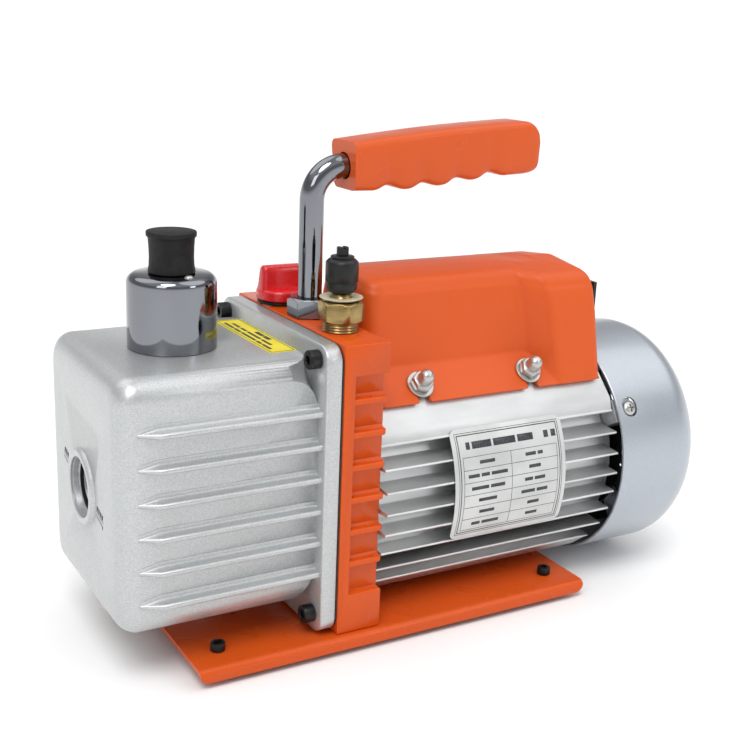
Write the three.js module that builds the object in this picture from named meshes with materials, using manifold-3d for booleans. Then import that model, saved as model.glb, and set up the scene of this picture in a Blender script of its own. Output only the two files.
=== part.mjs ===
// Two-stage rotary vane vacuum pump with its motor, oil tank and carrying handle on a folded base plate.
// Millimetres, +Z up. The shaft runs along X, with the oil tank at -X and the cooling fan at +X.
// The origin is on the floor, under the middle of the pump.

import * as THREE from "three";
import { mergeVertices } from "three/addons/utils/BufferGeometryUtils.js";
import Module from "manifold-3d";

const wasm = await Module();
wasm.setup();

// ---------- driving dimensions ----------

const gap = 0.3; // between pieces that bear on each other
const axisZ = 68.2; // height of the shaft

const plate = { front: -130.9, rear: 87.1, halfWidth: 62.8, lip: 3, top: 9.4, sheet: 2.5, bend: 3 };
const foot = { insetX: 14.8, insetY: 15.9, radius: 9, tipRadius: 7.5, hole: 2.4 };
const footScrew = { shank: 2, head: 3.5, headHeight: 4 };

const flange = { front: -69.2, rear: -61.3, halfWidth: 58.9, bottom: 11, top: 151.8, corner: 8 };
const tank = { front: -163.1, halfWidth: 51.4, bottom: 25.5, top: 143.6, round: 10, wall: 4.2 };
const tankRib = { tip: -154.4, full: -146, count: 6, first: 120.3, pitch: 15.76, reach: 57, thick: 3.6 };
const tankScrew = { y: 50.6, high: 145, low: 20, shank: 2.8, head: 4.4, headHeight: 5.5, depth: 9 };
const sight = { z: 81, hole: 14, glass: 13.7, ring: 18, ringFront: -165.1 };
const port = { x: -119.25, radius: 10 };
const drain = { x: -148, thread: 5, hex: 14 };

const block = { front: -60.1, rear: -36.8, halfWidth: 58.9, bottom: 9.7, top: 151.8 };
const recess = { front: -53, floor: 54.4, bottom: 29.2, top: 137 };
const blockRib = { count: 6, first: 44.7, pitch: 16, thick: 3.2, reach: 58.5, round: 3.5 };
const fittingX = -48.7; // the row of fittings along the block's top
const sideFitting = 32; // inlet and gas ballast, either side of the handle

const exhaust = { radius: 20.6, top: 176, wall: 1.6, round: 4, neck: 8.8, neckTop: 192 };
const rod = { radius: 5.9, bend: 16, foot: 138, height: 224, tilt: 3.4, tail: 94 };
const grip = { front: -31.9, length: 106.5, halfWidth: 12.2, corner: 4, bore: 6.2 };
const knob = { radius: 12.6, barHalf: 3.4 };

const motor = { front: -36.3, rear: 104.5, bore: 46, root: 50.2, fin: 61.4, pad: 62 };
const fins = { count: 8, first: 31, pitch: 10.7, tip: 1.5, foot: 2.6 };
const cover = { rim: 106.5, rear: 165.1, radius: 63.8, round: 19, wall: 1.3 };
const coverScrewAngles = [30, 150, 270]; // degrees round the shaft
const coverScrewX = 114.6;

const box = { front: -34.2, rear: 101.6, bottom: 114.8, top: 174, wall: 3, skirt: 65 };
const boxStep = { start: 65.6, end: 72, lean: 5 }; // where the box widens towards its rear, at its foot
const skirtScrewX = [-7.1, 57.9];
const skirtSlide = 11.2; // how far up the 45 degree slope the skirt's screws sit
const socket = { z: 152.5, height: 20, width: 27.5, y: -17, depth: 17 };
const rocker = { z: 152.5, height: 19, width: 13, y: 17, depth: 13, tilt: 8 };

const shaft = { rear: 137, radius: 7.5, pump: 6 };
const stages = { radius: 38, bore: 24, offset: 3.4, rotor: 20 };
const stageX = { first: [-60.1, -84], second: [-84.3, -106], cover: [-106.3, -114] };

// ---------- shape helpers ----------

// A closed geometry as a solid that can be joined and cut.
function solid(geometry) {
  const bare = geometry.clone();
  bare.deleteAttribute("normal");
  bare.deleteAttribute("uv");
  const merged = mergeVertices(bare, 1e-4);
  return new wasm.Manifold(
    new wasm.Mesh({
      numProp: 3,
      vertProperties: new Float32Array(merged.attributes.position.array),
      triVerts: new Uint32Array(merged.index.array),
    }),
  );
}

function geometryOf(body) {
  const mesh = body.getMesh();
  const positions = new Float32Array(mesh.numVert * 3);
  for (let i = 0; i < mesh.numVert; i++) {
    positions.set(mesh.vertProperties.subarray(i * mesh.numProp, i * mesh.numProp + 3), i * 3);
  }
  const geometry = new THREE.BufferGeometry();
  geometry.setAttribute("position", new THREE.BufferAttribute(positions, 3));
  geometry.setIndex(new THREE.BufferAttribute(new Uint32Array(mesh.triVerts), 1));
  geometry.computeVertexNormals();
  return geometry;
}

const join = (first, ...others) => others.reduce((sum, body) => sum.add(body), first);
const cut = (first, ...others) => others.reduce((rest, body) => rest.subtract(body), first);
const radians = (degrees) => (degrees * Math.PI) / 180;

// Which way each prism's outline and its length point: the outline's two axes, then the length.
const frames = {
  x: new THREE.Matrix4().set(0, 0, 1, 0, 1, 0, 0, 0, 0, 1, 0, 0, 0, 0, 0, 1), // outline in Y, Z
  y: new THREE.Matrix4().set(0, 1, 0, 0, 0, 0, 1, 0, 1, 0, 0, 0, 0, 0, 0, 1), // outline in Z, X
  z: new THREE.Matrix4(), // outline in X, Y
};

// A straight prism of an outline, between two places on its axis.
function prism(axis, outline, from, to, curveSegments = 6) {
  const shape = outline instanceof THREE.Shape ? outline : new THREE.Shape(outline);
  const depth = Math.abs(to - from);
  const geometry = new THREE.ExtrudeGeometry(shape, { depth, bevelEnabled: false, curveSegments });
  geometry.translate(0, 0, Math.min(from, to));
  return solid(geometry.applyMatrix4(frames[axis]));
}

const point = (x, y) => new THREE.Vector2(x, y);

function boxShape(u0, u1, v0, v1) {
  return [point(u0, v0), point(u1, v0), point(u1, v1), point(u0, v1)];
}

function roundedShape(u0, u1, v0, v1, r) {
  const shape = new THREE.Shape();
  shape.absarc(u1 - r, v0 + r, r, -Math.PI / 2, 0);
  shape.absarc(u1 - r, v1 - r, r, 0, Math.PI / 2);
  shape.absarc(u0 + r, v1 - r, r, Math.PI / 2, Math.PI);
  shape.absarc(u0 + r, v0 + r, r, Math.PI, (3 * Math.PI) / 2);
  return shape;
}

const brick = (x0, x1, y0, y1, z0, z1) => prism("z", boxShape(x0, x1, y0, y1), z0, z1);

// A solid of revolution about Z from [radius, height] points that run up the outside.
function turnedZ(profile, x = 0, y = 0, segments = 20) {
  const points = profile.map(([r, h]) => point(r, h));
  const geometry = new THREE.LatheGeometry(points, segments);
  return solid(geometry.rotateX(Math.PI / 2).translate(x, y, 0));
}

// The same about a line along X, with [radius, x] points that run towards +X on the outside.
function turnedX(profile, y = 0, z = axisZ, segments = 20) {
  const points = profile.map(([r, x]) => point(r, x));
  const geometry = new THREE.LatheGeometry(points, segments);
  return solid(geometry.rotateZ(-Math.PI / 2).rotateX(Math.PI / 2).translate(0, y, z));
}

const postZ = (r, z0, z1, x, y, segments = 12) =>
  turnedZ([[0, z0], [r, z0], [r, z1], [0, z1]], x, y, segments);
const rodX = (r, x0, x1, y = 0, z = axisZ, segments = 16) =>
  turnedX([[0, x0], [r, x0], [r, x1], [0, x1]], y, z, segments);
const ringX = (r0, r1, x0, x1, y = 0, z = axisZ, segments = 20) =>
  turnedX([[r0, x0], [r1, x0], [r1, x1], [r0, x1], [r0, x0]], y, z, segments);

function hexShape(acrossFlats, cx = 0, cy = 0, turn = 0) {
  const r = acrossFlats / Math.sqrt(3);
  const corner = (i) => radians(60 * i + turn);
  return Array.from({ length: 6 }, (_, i) =>
    point(cx + r * Math.cos(corner(i)), cy + r * Math.sin(corner(i))),
  );
}

// A solid skinned over a stack of loops that all have the same number of points.
function skinned(loops) {
  const count = loops[0].length;
  const positions = loops.flat().flatMap((p) => [p.x, p.y, p.z]);
  const index = [];
  for (let s = 0; s + 1 < loops.length; s++) {
    for (let i = 0; i < count; i++) {
      const a = s * count + i;
      const b = s * count + ((i + 1) % count);
      index.push(a, b, b + count, a, b + count, a + count);
    }
  }
  const last = (loops.length - 1) * count;
  for (let i = 1; i + 1 < count; i++) {
    index.push(0, i + 1, i, last, last + i, last + i + 1);
  }
  const geometry = new THREE.BufferGeometry();
  geometry.setAttribute("position", new THREE.Float32BufferAttribute(positions, 3));
  geometry.setIndex(index);
  return solid(geometry);
}

// ---------- finishes ----------

const finish = (color, roughness, metalness = 0) =>
  new THREE.MeshStandardMaterial({ color, roughness, metalness });

const orangePaint = finish(0xdc5a20, 0.35);
const orangePlastic = finish(0xe0622a, 0.45);
const silverPaint = finish(0xb8bcbd, 0.38, 0.7);
const coverPaint = finish(0xb4b9be, 0.35, 0.7);
const aluminium = finish(0xc4c7c8, 0.45, 0.9);
const chrome = finish(0xd8dade, 0.08, 1);
const zincSteel = finish(0xb9bab4, 0.3, 1);
const steel = finish(0x9a9c9f, 0.35, 1);
const castIron = finish(0x5d5f62, 0.6, 0.8);
const brass = finish(0xa88542, 0.3, 1);
const copper = finish(0xa4552c, 0.4, 0.9);
const blackOxide = finish(0x1b1b1c, 0.45, 0.6);
const rubber = finish(0x151515, 0.7);
const blackPlastic = finish(0x1c1c1e, 0.5);
const redPlastic = finish(0xc4181a, 0.35);
const nylon = finish(0xe8e4d6, 0.5);
const gasketPaper = finish(0x2a2a28, 0.9);
const capPlastic = finish(0xd9d9d4, 0.5);
const glass = finish(0x20262a, 0.05);
const vaneCarbon = finish(0x2b2c2e, 0.6);

const pump = new THREE.Group();

function place(name, body, material, parent = pump) {
  const mesh = new THREE.Mesh(geometryOf(body), material);
  mesh.name = name;
  parent.add(mesh);
  return mesh;
}

// ---------- base plate, feet and their screws ----------

const footPlaces = [
  [plate.front + foot.insetX, foot.insetY - plate.halfWidth],
  [plate.front + foot.insetX, plate.halfWidth - foot.insetY],
  [plate.rear - foot.insetX, foot.insetY - plate.halfWidth],
  [plate.rear - foot.insetX, plate.halfWidth - foot.insetY],
];

function basePlate() {
  const section = roundedShape(
    -plate.halfWidth, plate.halfWidth, plate.lip - 2 * plate.bend, plate.top, plate.bend,
  );
  const inner = boxShape(
    plate.sheet - plate.halfWidth, plate.halfWidth - plate.sheet, -plate.lip, plate.top - plate.sheet,
  );
  const lipCorner = 4;
  const side = new THREE.Shape();
  side.moveTo(plate.top + 1, plate.front);
  side.lineTo(plate.lip + lipCorner, plate.front);
  side.absarc(plate.lip + lipCorner, plate.front + lipCorner, lipCorner, -Math.PI / 2, Math.PI, true);
  side.absarc(plate.lip + lipCorner, plate.rear - lipCorner, lipCorner, Math.PI, Math.PI / 2, true);
  side.lineTo(plate.top + 1, plate.rear);
  const sheet = cut(
    prism("x", section, plate.front, plate.rear, 4),
    prism("x", inner, plate.front - 1, plate.rear + 1),
  ).intersect(prism("y", side, -plate.halfWidth - 1, plate.halfWidth + 1, 4));
  const holes = footPlaces.map(([x, y]) => postZ(foot.hole, 0, plate.top + 1, x, y, 10));
  return cut(sheet, ...holes);
}
place("base_plate", basePlate(), orangePaint);

footPlaces.forEach(([x, y], i) => {
  const top = plate.top - plate.sheet - gap;
  const rubberProfile = [
    [foot.hole, 0], [foot.tipRadius, 0], [foot.radius, top - 1.5], [foot.radius, top],
    [foot.hole, top], [foot.hole, 0],
  ];
  place("rubber_foot_" + (i + 1), turnedZ(rubberProfile, x, y, 12), rubber);

  const seat = plate.top + gap;
  const rim = seat + footScrew.headHeight;
  const profile = [
    [0, 1.5], [footScrew.shank, 1.5], [footScrew.shank, seat], [footScrew.head, seat],
    [footScrew.head, rim - 0.4], [footScrew.head - 0.4, rim], [0, rim],
  ];
  const driveHex = prism("z", hexShape(3, x, y), rim - 2, rim + 1);
  place("foot_screw_" + (i + 1), cut(turnedZ(profile, x, y, 10), driveHex), blackOxide);
});

// ---------- oil tank with its flange, gasket and screws ----------

const tankScrewPlaces = [
  [-tankScrew.y, tankScrew.high], [tankScrew.y, tankScrew.high],
  [-tankScrew.y, tankScrew.low], [tankScrew.y, tankScrew.low],
];

// A loop across X whose corners are round, for skinning the tank.
function tankLoop(x, inset, corner, segments = 4) {
  const halfWidth = tank.halfWidth - inset;
  const centres = [
    [halfWidth - corner, tank.bottom + inset + corner, -90],
    [halfWidth - corner, tank.top - inset - corner, 0],
    [corner - halfWidth, tank.top - inset - corner, 90],
    [corner - halfWidth, tank.bottom + inset + corner, 180],
  ];
  return centres.flatMap(([cy, cz, start]) =>
    Array.from({ length: segments + 1 }, (_, i) => {
      const a = radians(start + (90 * i) / segments);
      return new THREE.Vector3(x, cy + corner * Math.cos(a), cz + corner * Math.sin(a));
    }),
  );
}

function tankShell() {
  const steps = 4;
  const loops = [];
  for (let i = 0; i <= steps; i++) {
    const a = radians((90 * i) / steps);
    const inset = tank.round * (1 - Math.sin(a));
    const corner = tank.round - inset * 0.85;
    loops.push(tankLoop(tank.front + tank.round * (1 - Math.cos(a)), inset, corner));
  }
  loops.push(tankLoop(flange.rear - 1, 0, tank.round));
  return skinned(loops);
}

// A side rib: a ridge that rises from a point near the tank's front and runs back into the flange.
function tankSideRib(side, z) {
  const half = tankRib.thick / 2;
  const root = side * (tank.halfWidth - 1);
  const reach = side * tankRib.reach;
  const at = (x, y, dz) => new THREE.Vector3(x, y, z + dz);
  const ridge = (x, y) => [at(x, root, -half), at(x, y, -half * 0.6), at(x, y, half * 0.6), at(x, root, half)];
  const tip = [
    at(tankRib.tip, root, -0.2), at(tankRib.tip, root + side * 0.4, -0.1),
    at(tankRib.tip, root + side * 0.4, 0.1), at(tankRib.tip, root, 0.2),
  ];
  const loops = [tip, ridge(tankRib.full, reach), ridge(flange.front + 1, reach)];
  return skinned(side < 0 ? loops.map((loop) => [...loop].reverse()) : loops);
}

// The raised ring that is cast round the sight glass.
function sightBoss() {
  const inside = tank.front + 1;
  const core = sight.hole - 2;
  return turnedX([
    [sight.ring + 0.6, inside], [sight.ring, sight.ringFront + 1], [sight.ring - 1, sight.ringFront],
    [core, sight.ringFront], [core, inside], [sight.ring + 0.6, inside],
  ].reverse(), 0, sight.z, 24);
}

function oilTank() {
  const flangeShape = roundedShape(
    -flange.halfWidth, flange.halfWidth, flange.bottom, flange.top, flange.corner,
  );
  const parts = [tankShell(), prism("x", flangeShape, flange.front, flange.rear, 4), sightBoss()];
  for (let i = 0; i < tankRib.count; i++) {
    const z = tankRib.first - i * tankRib.pitch;
    parts.push(tankSideRib(-1, z), tankSideRib(1, z));
  }
  const inner = tank.halfWidth - tank.wall;
  const cavity = roundedShape(-inner, inner, tank.bottom + tank.wall, tank.top - tank.wall, 7);
  const holes = tankScrewPlaces.map(([y, z]) =>
    rodX(tankScrew.shank + 0.4, flange.front - 6, flange.rear + 1, y, z, 8),
  );
  return cut(
    join(...parts),
    prism("x", cavity, tank.front + tank.wall, flange.rear + 1, 3),
    rodX(sight.hole, tank.front - 3, tank.front + tank.wall + 1, 0, sight.z, 24),
    postZ(port.radius, tank.top - 8, tank.top + 1, port.x, 0),
    postZ(5.3, tank.bottom - 1, tank.bottom + 8, drain.x, 0),
    ...holes,
  );
}

place("oil_tank", oilTank(), silverPaint);

const drainSeat = tank.bottom - gap;
place(
  "oil_drain_plug",
  join(
    postZ(drain.thread, drainSeat - 1, tank.bottom + tank.wall - 0.5, drain.x, 0),
    postZ(drain.hex / 2 + 1.2, drainSeat - 1.6, drainSeat, drain.x, 0),
    prism("z", hexShape(drain.hex, drain.x, 0), drainSeat - 7, drainSeat - 1.5),
  ),
  zincSteel,
);

function tankGasket() {
  const inset = 0.6;
  const half = flange.halfWidth - inset;
  const inner = tank.halfWidth - tank.wall + 1;
  const outerShape = roundedShape(-half, half, flange.bottom + inset, flange.top - inset, flange.corner);
  const window = roundedShape(
    -inner, inner, tank.bottom + tank.wall - 1, tank.top - tank.wall + 1, 7,
  );
  const x0 = flange.rear + gap;
  const x1 = block.front - gap;
  const holes = tankScrewPlaces.map(([y, z]) => rodX(tankScrew.shank + 0.4, x0 - 1, x1 + 1, y, z, 8));
  return cut(prism("x", outerShape, x0, x1, 4), prism("x", window, x0 - 1, x1 + 1, 3), ...holes);
}
place("tank_gasket", tankGasket(), gasketPaper);

tankScrewPlaces.forEach(([y, z], i) => {
  const seat = flange.front - gap;
  const face = seat - tankScrew.headHeight;
  const profile = [
    [0, face], [tankScrew.head - 0.5, face], [tankScrew.head, face + 0.5], [tankScrew.head, seat],
    [tankScrew.shank, seat], [tankScrew.shank, block.front + tankScrew.depth],
    [0, block.front + tankScrew.depth],
  ];
  const driveHex = prism("x", hexShape(4, y, z), face - 1, face + 3);
  place("tank_screw_" + (i + 1), cut(turnedX(profile, y, z, 10), driveHex), blackOxide);
});

const glassFront = tank.front + 1.8;
place("sight_glass", rodX(sight.glass, glassFront, glassFront + 2, 0, sight.z, 24), glass);

// ---------- exhaust housing, its filter and its rubber cap ----------

const exhaustSeat = tank.top + gap;
const roundSteps = [0, 30, 60, 90].map(radians);

function exhaustHousing() {
  const { radius, top, wall, round, neck, neckTop } = exhaust;
  const outer = roundSteps.map((a) => [
    radius - round + round * Math.cos(a), top - round + round * Math.sin(a),
  ]);
  const profile = [
    [radius - wall, exhaustSeat], [radius, exhaustSeat], ...outer,
    [neck, top], [neck, neckTop], [neck - wall, neckTop], [neck - wall, top - wall],
    [radius - wall, top - wall], [radius - wall, exhaustSeat],
  ];
  return turnedZ(profile, port.x, 0, 24);
}
place("exhaust_housing", exhaustHousing(), chrome);

const filterProfile = [
  [8, exhaustSeat + 3], [17.5, exhaustSeat + 3], [17.5, exhaust.top - 5], [8, exhaust.top - 5],
  [8, exhaustSeat + 3],
];
place("mist_filter", turnedZ(filterProfile, port.x, 0, 14), nylon);

const capBottom = exhaust.top + gap;
const capProfile = [
  [exhaust.neck + gap, capBottom], [10.8, capBottom], [10.2, capBottom + 3], [10.2, 192.4],
  [11.4, 193.4], [11.4, 196.2], [10.6, 197], [0, 197], [0, exhaust.neckTop + gap],
  [exhaust.neck + gap, exhaust.neckTop + gap], [exhaust.neck + gap, capBottom],
];
place("exhaust_cap", turnedZ(capProfile, port.x, 0, 18), rubber);

// ---------- pump block ----------

function blockRibPiece(side, z) {
  const { thick, reach, round } = blockRib;
  const root = side * (recess.floor - 1);
  const rear = block.rear;
  const shape = new THREE.Shape();
  shape.moveTo(recess.front - 1, root);
  shape.lineTo(recess.front - 1, side * reach);
  shape.lineTo(rear - round, side * reach);
  shape.quadraticCurveTo(rear, side * reach, rear, side * (reach - round));
  shape.lineTo(rear, root);
  return prism("z", shape, z - thick / 2, z + thick / 2, 4);
}

function pumpBlock() {
  const { front, rear, halfWidth, bottom, top } = block;
  const core = brick(front, rear, -halfWidth, halfWidth, bottom, top);
  const pockets = [-1, 1].map((side) =>
    brick(
      recess.front, rear + 1,
      Math.min(side * recess.floor, side * (halfWidth + 1)),
      Math.max(side * recess.floor, side * (halfWidth + 1)),
      recess.bottom, recess.top,
    ),
  );
  const ribs = [];
  for (let i = 0; i < blockRib.count; i++) {
    const z = blockRib.first + i * blockRib.pitch;
    ribs.push(blockRibPiece(-1, z), blockRibPiece(1, z));
  }
  const passageZ = 96;
  const bores = [
    rodX(shaft.pump + 2, front - 1, rear + 1), // shaft and its oil seal
    rodX(17.8, rear - 11.5, rear + 1, 0, axisZ, 20), // front bearing seat
    postZ(rod.radius + gap, rod.foot - 1, top + 1, fittingX, 0),
    postZ(8.9, top - 12, top + 1, fittingX, -sideFitting),
    postZ(4, passageZ, top - 10, fittingX, -sideFitting, 8), // inlet passage down to the first stage
    rodX(3.6, front - 1, fittingX, -sideFitting, passageZ + 4, 8),
    postZ(5.5, top - 16, top + 1, fittingX, sideFitting),
    ...tankScrewPlaces.map(([y, z]) =>
      rodX(tankScrew.shank + 0.4, front - 1, front + tankScrew.depth + 2, y, z, 8),
    ),
  ];
  return cut(join(cut(core, ...pockets), ...ribs), ...bores);
}
place("pump_body", pumpBlock(), orangePaint);

// ---------- handle: bent rod, lock nut and moulded grip ----------

const rodTop = rod.height - rod.bend;
const tilt = radians(rod.tilt);
const along = new THREE.Vector3(Math.cos(tilt), 0, Math.sin(tilt)); // the way the grip runs
const bendEnd = Math.PI / 2 - tilt; // how far the rod turns before the grip
const rodCorner = new THREE.Vector3(
  fittingX + rod.bend * (1 - Math.cos(bendEnd)), 0, rodTop + rod.bend * Math.sin(bendEnd),
);

// One round loop of the rod, square to the way it runs, at an angle through its bend.
function rodLoop(centre, turn) {
  const sides = 16;
  return Array.from({ length: sides }, (_, i) => {
    const a = (2 * Math.PI * i) / sides;
    const u = rod.radius * Math.cos(a);
    return new THREE.Vector3(
      centre.x + u * Math.cos(turn), rod.radius * Math.sin(a), centre.z - u * Math.sin(turn),
    );
  });
}

function rodBody() {
  const steps = 8;
  const loops = [rodLoop(new THREE.Vector3(fittingX, 0, rod.foot), 0)];
  for (let i = 0; i <= steps; i++) {
    const a = (bendEnd * i) / steps;
    const x = fittingX + rod.bend * (1 - Math.cos(a));
    loops.push(rodLoop(new THREE.Vector3(x, 0, rodTop + rod.bend * Math.sin(a)), a));
  }
  loops.push(rodLoop(rodCorner.clone().addScaledVector(along, rod.tail), bendEnd));
  return skinned(loops);
}
place("handle_rod", rodBody(), chrome);

// A hexagon nut with its top corners turned off.
function hexNut(acrossFlats, bore, z0, z1, x, y, turn) {
  const e = acrossFlats / Math.sqrt(3);
  const crown = turnedZ(
    [[0, z0 - 1], [e, z0 - 1], [e + 0.3, z1 - 1.6], [acrossFlats / 2 - 0.4, z1], [0, z1]], x, y, 18,
  );
  const blank = prism("z", hexShape(acrossFlats, x, y, turn), z0, z1).intersect(crown);
  return cut(blank, postZ(bore, z0 - 2, z1 + 2, x, y));
}
place(
  "handle_nut",
  hexNut(19, rod.radius + gap, block.top + gap, block.top + 9.5, fittingX, 0, 12),
  chrome,
);

// The grip's section at a distance along it: wider at the top, with finger grooves beneath.
function gripLoop(s) {
  const t = s / grip.length;
  const grooves = { first: 10, pitch: 19.8, count: 4, depth: 3.4 };
  const g = (s - grooves.first) / grooves.pitch;
  const groove = g > 0 && g < grooves.count ? (grooves.depth * (1 - Math.cos(2 * Math.PI * g))) / 2 : 0;
  const endRound = 9 * Math.max(0, (s - (grip.length - 9)) / 9) ** 2;
  const top = 12 + 3.2 * t - endRound;
  const bottom = -10.4 - 0.2 * t + groove + endRound * 0.5;
  const w = grip.halfWidth;
  const low = w - 1.2 - groove * 0.5;
  const r = grip.corner;
  const corners = [
    [-low + r, bottom, low - r, bottom],
    [low, bottom + r, w, top - r],
    [w - r, top, r - w, top],
    [-w, top - r, -low, bottom + r],
  ];
  const origin = new THREE.Vector3(grip.front, 0, rodCorner.z + (grip.front - rodCorner.x) * Math.tan(tilt));
  const up = new THREE.Vector3(-Math.sin(tilt), 0, Math.cos(tilt));
  return corners.flatMap(([y0, z0, y1, z1]) =>
    [[y0, z0], [y1, z1]].map(([y, z]) =>
      origin.clone().addScaledVector(along, s).addScaledVector(up, z).setY(y),
    ),
  );
}

function gripBody() {
  const steps = 28;
  const loops = Array.from({ length: steps + 1 }, (_, i) => gripLoop((grip.length * i) / steps));
  const circle = new THREE.Shape().absarc(0, 0, grip.bore, 0, 2 * Math.PI);
  const hole = new THREE.ExtrudeGeometry(circle, {
    steps: 1,
    curveSegments: 8,
    bevelEnabled: false,
    extrudePath: new THREE.LineCurve3(
      rodCorner.clone().addScaledVector(along, -2),
      rodCorner.clone().addScaledVector(along, rod.tail + 1),
    ),
  });
  return cut(skinned(loops), solid(hole));
}
place("handle_grip", gripBody(), orangePlastic);

// ---------- inlet fitting, its washer and its flare cap ----------

function inletFitting() {
  const x = fittingX;
  const y = -sideFitting;
  const threadTop = 157;
  const groovePitch = 2;
  const thread = [[0, block.top - 10], [8.5, block.top - 10], [8.5, block.top]];
  for (let z = block.top + 0.3; z < threadTop - 1.2; z += groovePitch) {
    thread.push([8.6, z], [8.6, z + 0.7], [8, z + 1.1]);
  }
  thread.push([8, threadTop], [0, threadTop]);
  const neck = [
    [0, 165], [4.9, 165], [4.9, 174], [4.1, 174.8], [4.1, 181], [0, 181],
  ];
  return cut(
    join(turnedZ(thread, x, y, 14), hexNut(19, 0.1, threadTop - 0.5, 166.3, x, y, 12), turnedZ(neck, x, y, 12)),
    postZ(2.6, block.top - 11, 182, x, y, 10),
  );
}
place("inlet_fitting", inletFitting(), brass);

const washerProfile = [[5.3, 166.6], [9, 166.6], [10.2, 167.4], [10.2, 168.2], [5.3, 168.2], [5.3, 166.6]];
place("inlet_washer", turnedZ(washerProfile, fittingX, -sideFitting, 18), nylon);

function inletCap() {
  const x = fittingX;
  const y = -sideFitting;
  const profile = [
    [5.2, 170.6], [6.2, 170.6], [7.3, 173.6], [7.3, 174.2], [7.7, 174.5], [7.7, 184.2], [6.3, 186.4],
    [4.6, 186.4], [4.8, 187.2], [4.2, 188], [0, 188], [0, 181.6], [5.2, 181.6], [5.2, 170.6],
  ];
  return join(turnedZ(profile, x, y, 18), brick(x - 3.2, x + 3.2, y - 2, y + 2, 187.5, 191.4));
}
place("inlet_cap", inletCap(), blackPlastic);

// ---------- gas ballast valve and its knob ----------

const valveProfile = [
  [0, block.top - 14], [5.1, block.top - 14], [5.1, block.top + gap], [11.9, block.top + gap],
  [11.9, block.top + 2], [4, block.top + 2], [4, block.top + 5], [0, block.top + 5],
];
place("gas_ballast_valve", turnedZ(valveProfile, fittingX, sideFitting, 20), blackPlastic);

function ballastKnob() {
  const z0 = block.top + 2 + gap;
  const { radius, barHalf } = knob;
  const disc = turnedZ(
    [[0, z0], [radius, z0], [radius, z0 + 3.6], [radius - 1.2, z0 + 5.4], [0, z0 + 6.4]], 0, 0, 24,
  );
  const bar = skinned(
    [[z0 + 3, 11.6, barHalf + 1.6], [z0 + 15.6, 10, barHalf], [z0 + 17, 8.6, barHalf - 1.2]].map(
      ([z, a, b]) => {
        const c = Math.min(b * 0.7, 2.5);
        return [
          [a - c, -b], [a, c - b], [a, b - c], [a - c, b], [c - a, b], [-a, b - c], [-a, c - b], [c - a, -b],
        ].map(([x, y]) => new THREE.Vector3(x, y, z));
      },
    ),
  );
  return cut(join(disc, bar), postZ(4.3, z0 - 1, z0 + 3.4, 0, 0, 12));
}
const knobPivot = new THREE.Group();
knobPivot.position.set(fittingX, sideFitting, 0);
pump.add(knobPivot);
place("gas_ballast_knob", ballastKnob(), redPlastic, knobPivot);

// ---------- pump stages inside the tank ----------

const stageBore = (x0, x1) => rodX(stages.bore, x0, x1, 0, axisZ - stages.offset, 24);
const stageFirst = { x0: stageX.first[1], x1: stageX.first[0] - gap };
const stageSecond = { x0: stageX.second[1], x1: stageX.second[0] };
const journal = shaft.pump + gap;

place(
  "first_stage_cylinder",
  cut(
    rodX(stages.radius, stageFirst.x0, stageFirst.x1, 0, axisZ, 24),
    stageBore(stageFirst.x0 - 1, stageFirst.x1 + 1),
    postZ(3, axisZ + 15, axisZ + stages.radius + 1, (stageFirst.x0 + stageFirst.x1) / 2, 9, 10),
  ),
  castIron,
);

const partition = 5;
place(
  "second_stage_cylinder",
  cut(
    rodX(stages.radius, stageSecond.x0, stageSecond.x1, 0, axisZ, 24),
    stageBore(stageSecond.x0 - 1, stageSecond.x1 - partition),
    rodX(journal + 0.4, stageSecond.x1 - partition - 1, stageSecond.x1 + 1),
    postZ(3, axisZ + 15, axisZ + stages.radius + 1, stageSecond.x0 + 6, 9, 10),
  ),
  castIron,
);
place(
  "pump_end_cover",
  cut(rodX(stages.radius, stageX.cover[1], stageX.cover[0], 0, axisZ, 24),
    rodX(journal + 0.4, stageX.cover[1] - 1, stageX.cover[0] + 1)),
  castIron,
);

// The exhaust valve: a thin leaf under a stop, on top of the second stage.
const leafZ = axisZ + stages.radius + gap;
place(
  "exhaust_valve",
  brick(stageSecond.x0 + 1, stageSecond.x0 + 14, -12, 14, leafZ, leafZ + 2.4),
  steel,
);

// ---------- everything that turns with the shaft, in a group on the shaft's line ----------

const turning = new THREE.Group();
turning.position.set(0, 0, axisZ);
pump.add(turning);

const vaneSlots = { halfThick: 1.7, depth: 14 };
const rotorSpans = [
  [stageFirst.x0 + 0.5, stageFirst.x1 - 0.5],
  [stageSecond.x0 + 0.5, stageSecond.x1 - partition - 0.5],
];

// Both stages' rotor bodies are one piece on a journal that passes through the partition.
function pumpRotor() {
  const { rotor } = stages;
  const bodies = rotorSpans.map(([x0, x1]) => rodX(rotor, x0, x1, 0, 0, 24));
  const spine = rodX(shaft.pump, stageX.cover[1] + 1, block.front + 3, 0, 0);
  const slots = rotorSpans.flatMap(([x0, x1]) =>
    [-1, 1].map((side) => {
      const near = rotor - vaneSlots.depth;
      const shape = boxShape(
        Math.min(side * near, side * (rotor + 1)), Math.max(side * near, side * (rotor + 1)),
        -vaneSlots.halfThick, vaneSlots.halfThick,
      );
      return prism("x", shape, x0 - 0.2, x1 + 0.2);
    }),
  );
  return cut(join(spine, ...bodies), ...slots);
}
place("pump_rotor", pumpRotor(), steel, turning);

rotorSpans.forEach(([x0, x1], stage) => {
  [-1, 1].forEach((side, i) => {
    const outer = side * (stages.rotor - 0.4);
    const inner = side * (stages.rotor - vaneSlots.depth + gap);
    const half = vaneSlots.halfThick - gap;
    const shape = boxShape(Math.min(inner, outer), Math.max(inner, outer), -half, half);
    place(`vane_${stage + 1}_${i + 1}`, prism("x", shape, x0 + 0.4, x1 - 0.4), vaneCarbon, turning);
  });
});

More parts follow.
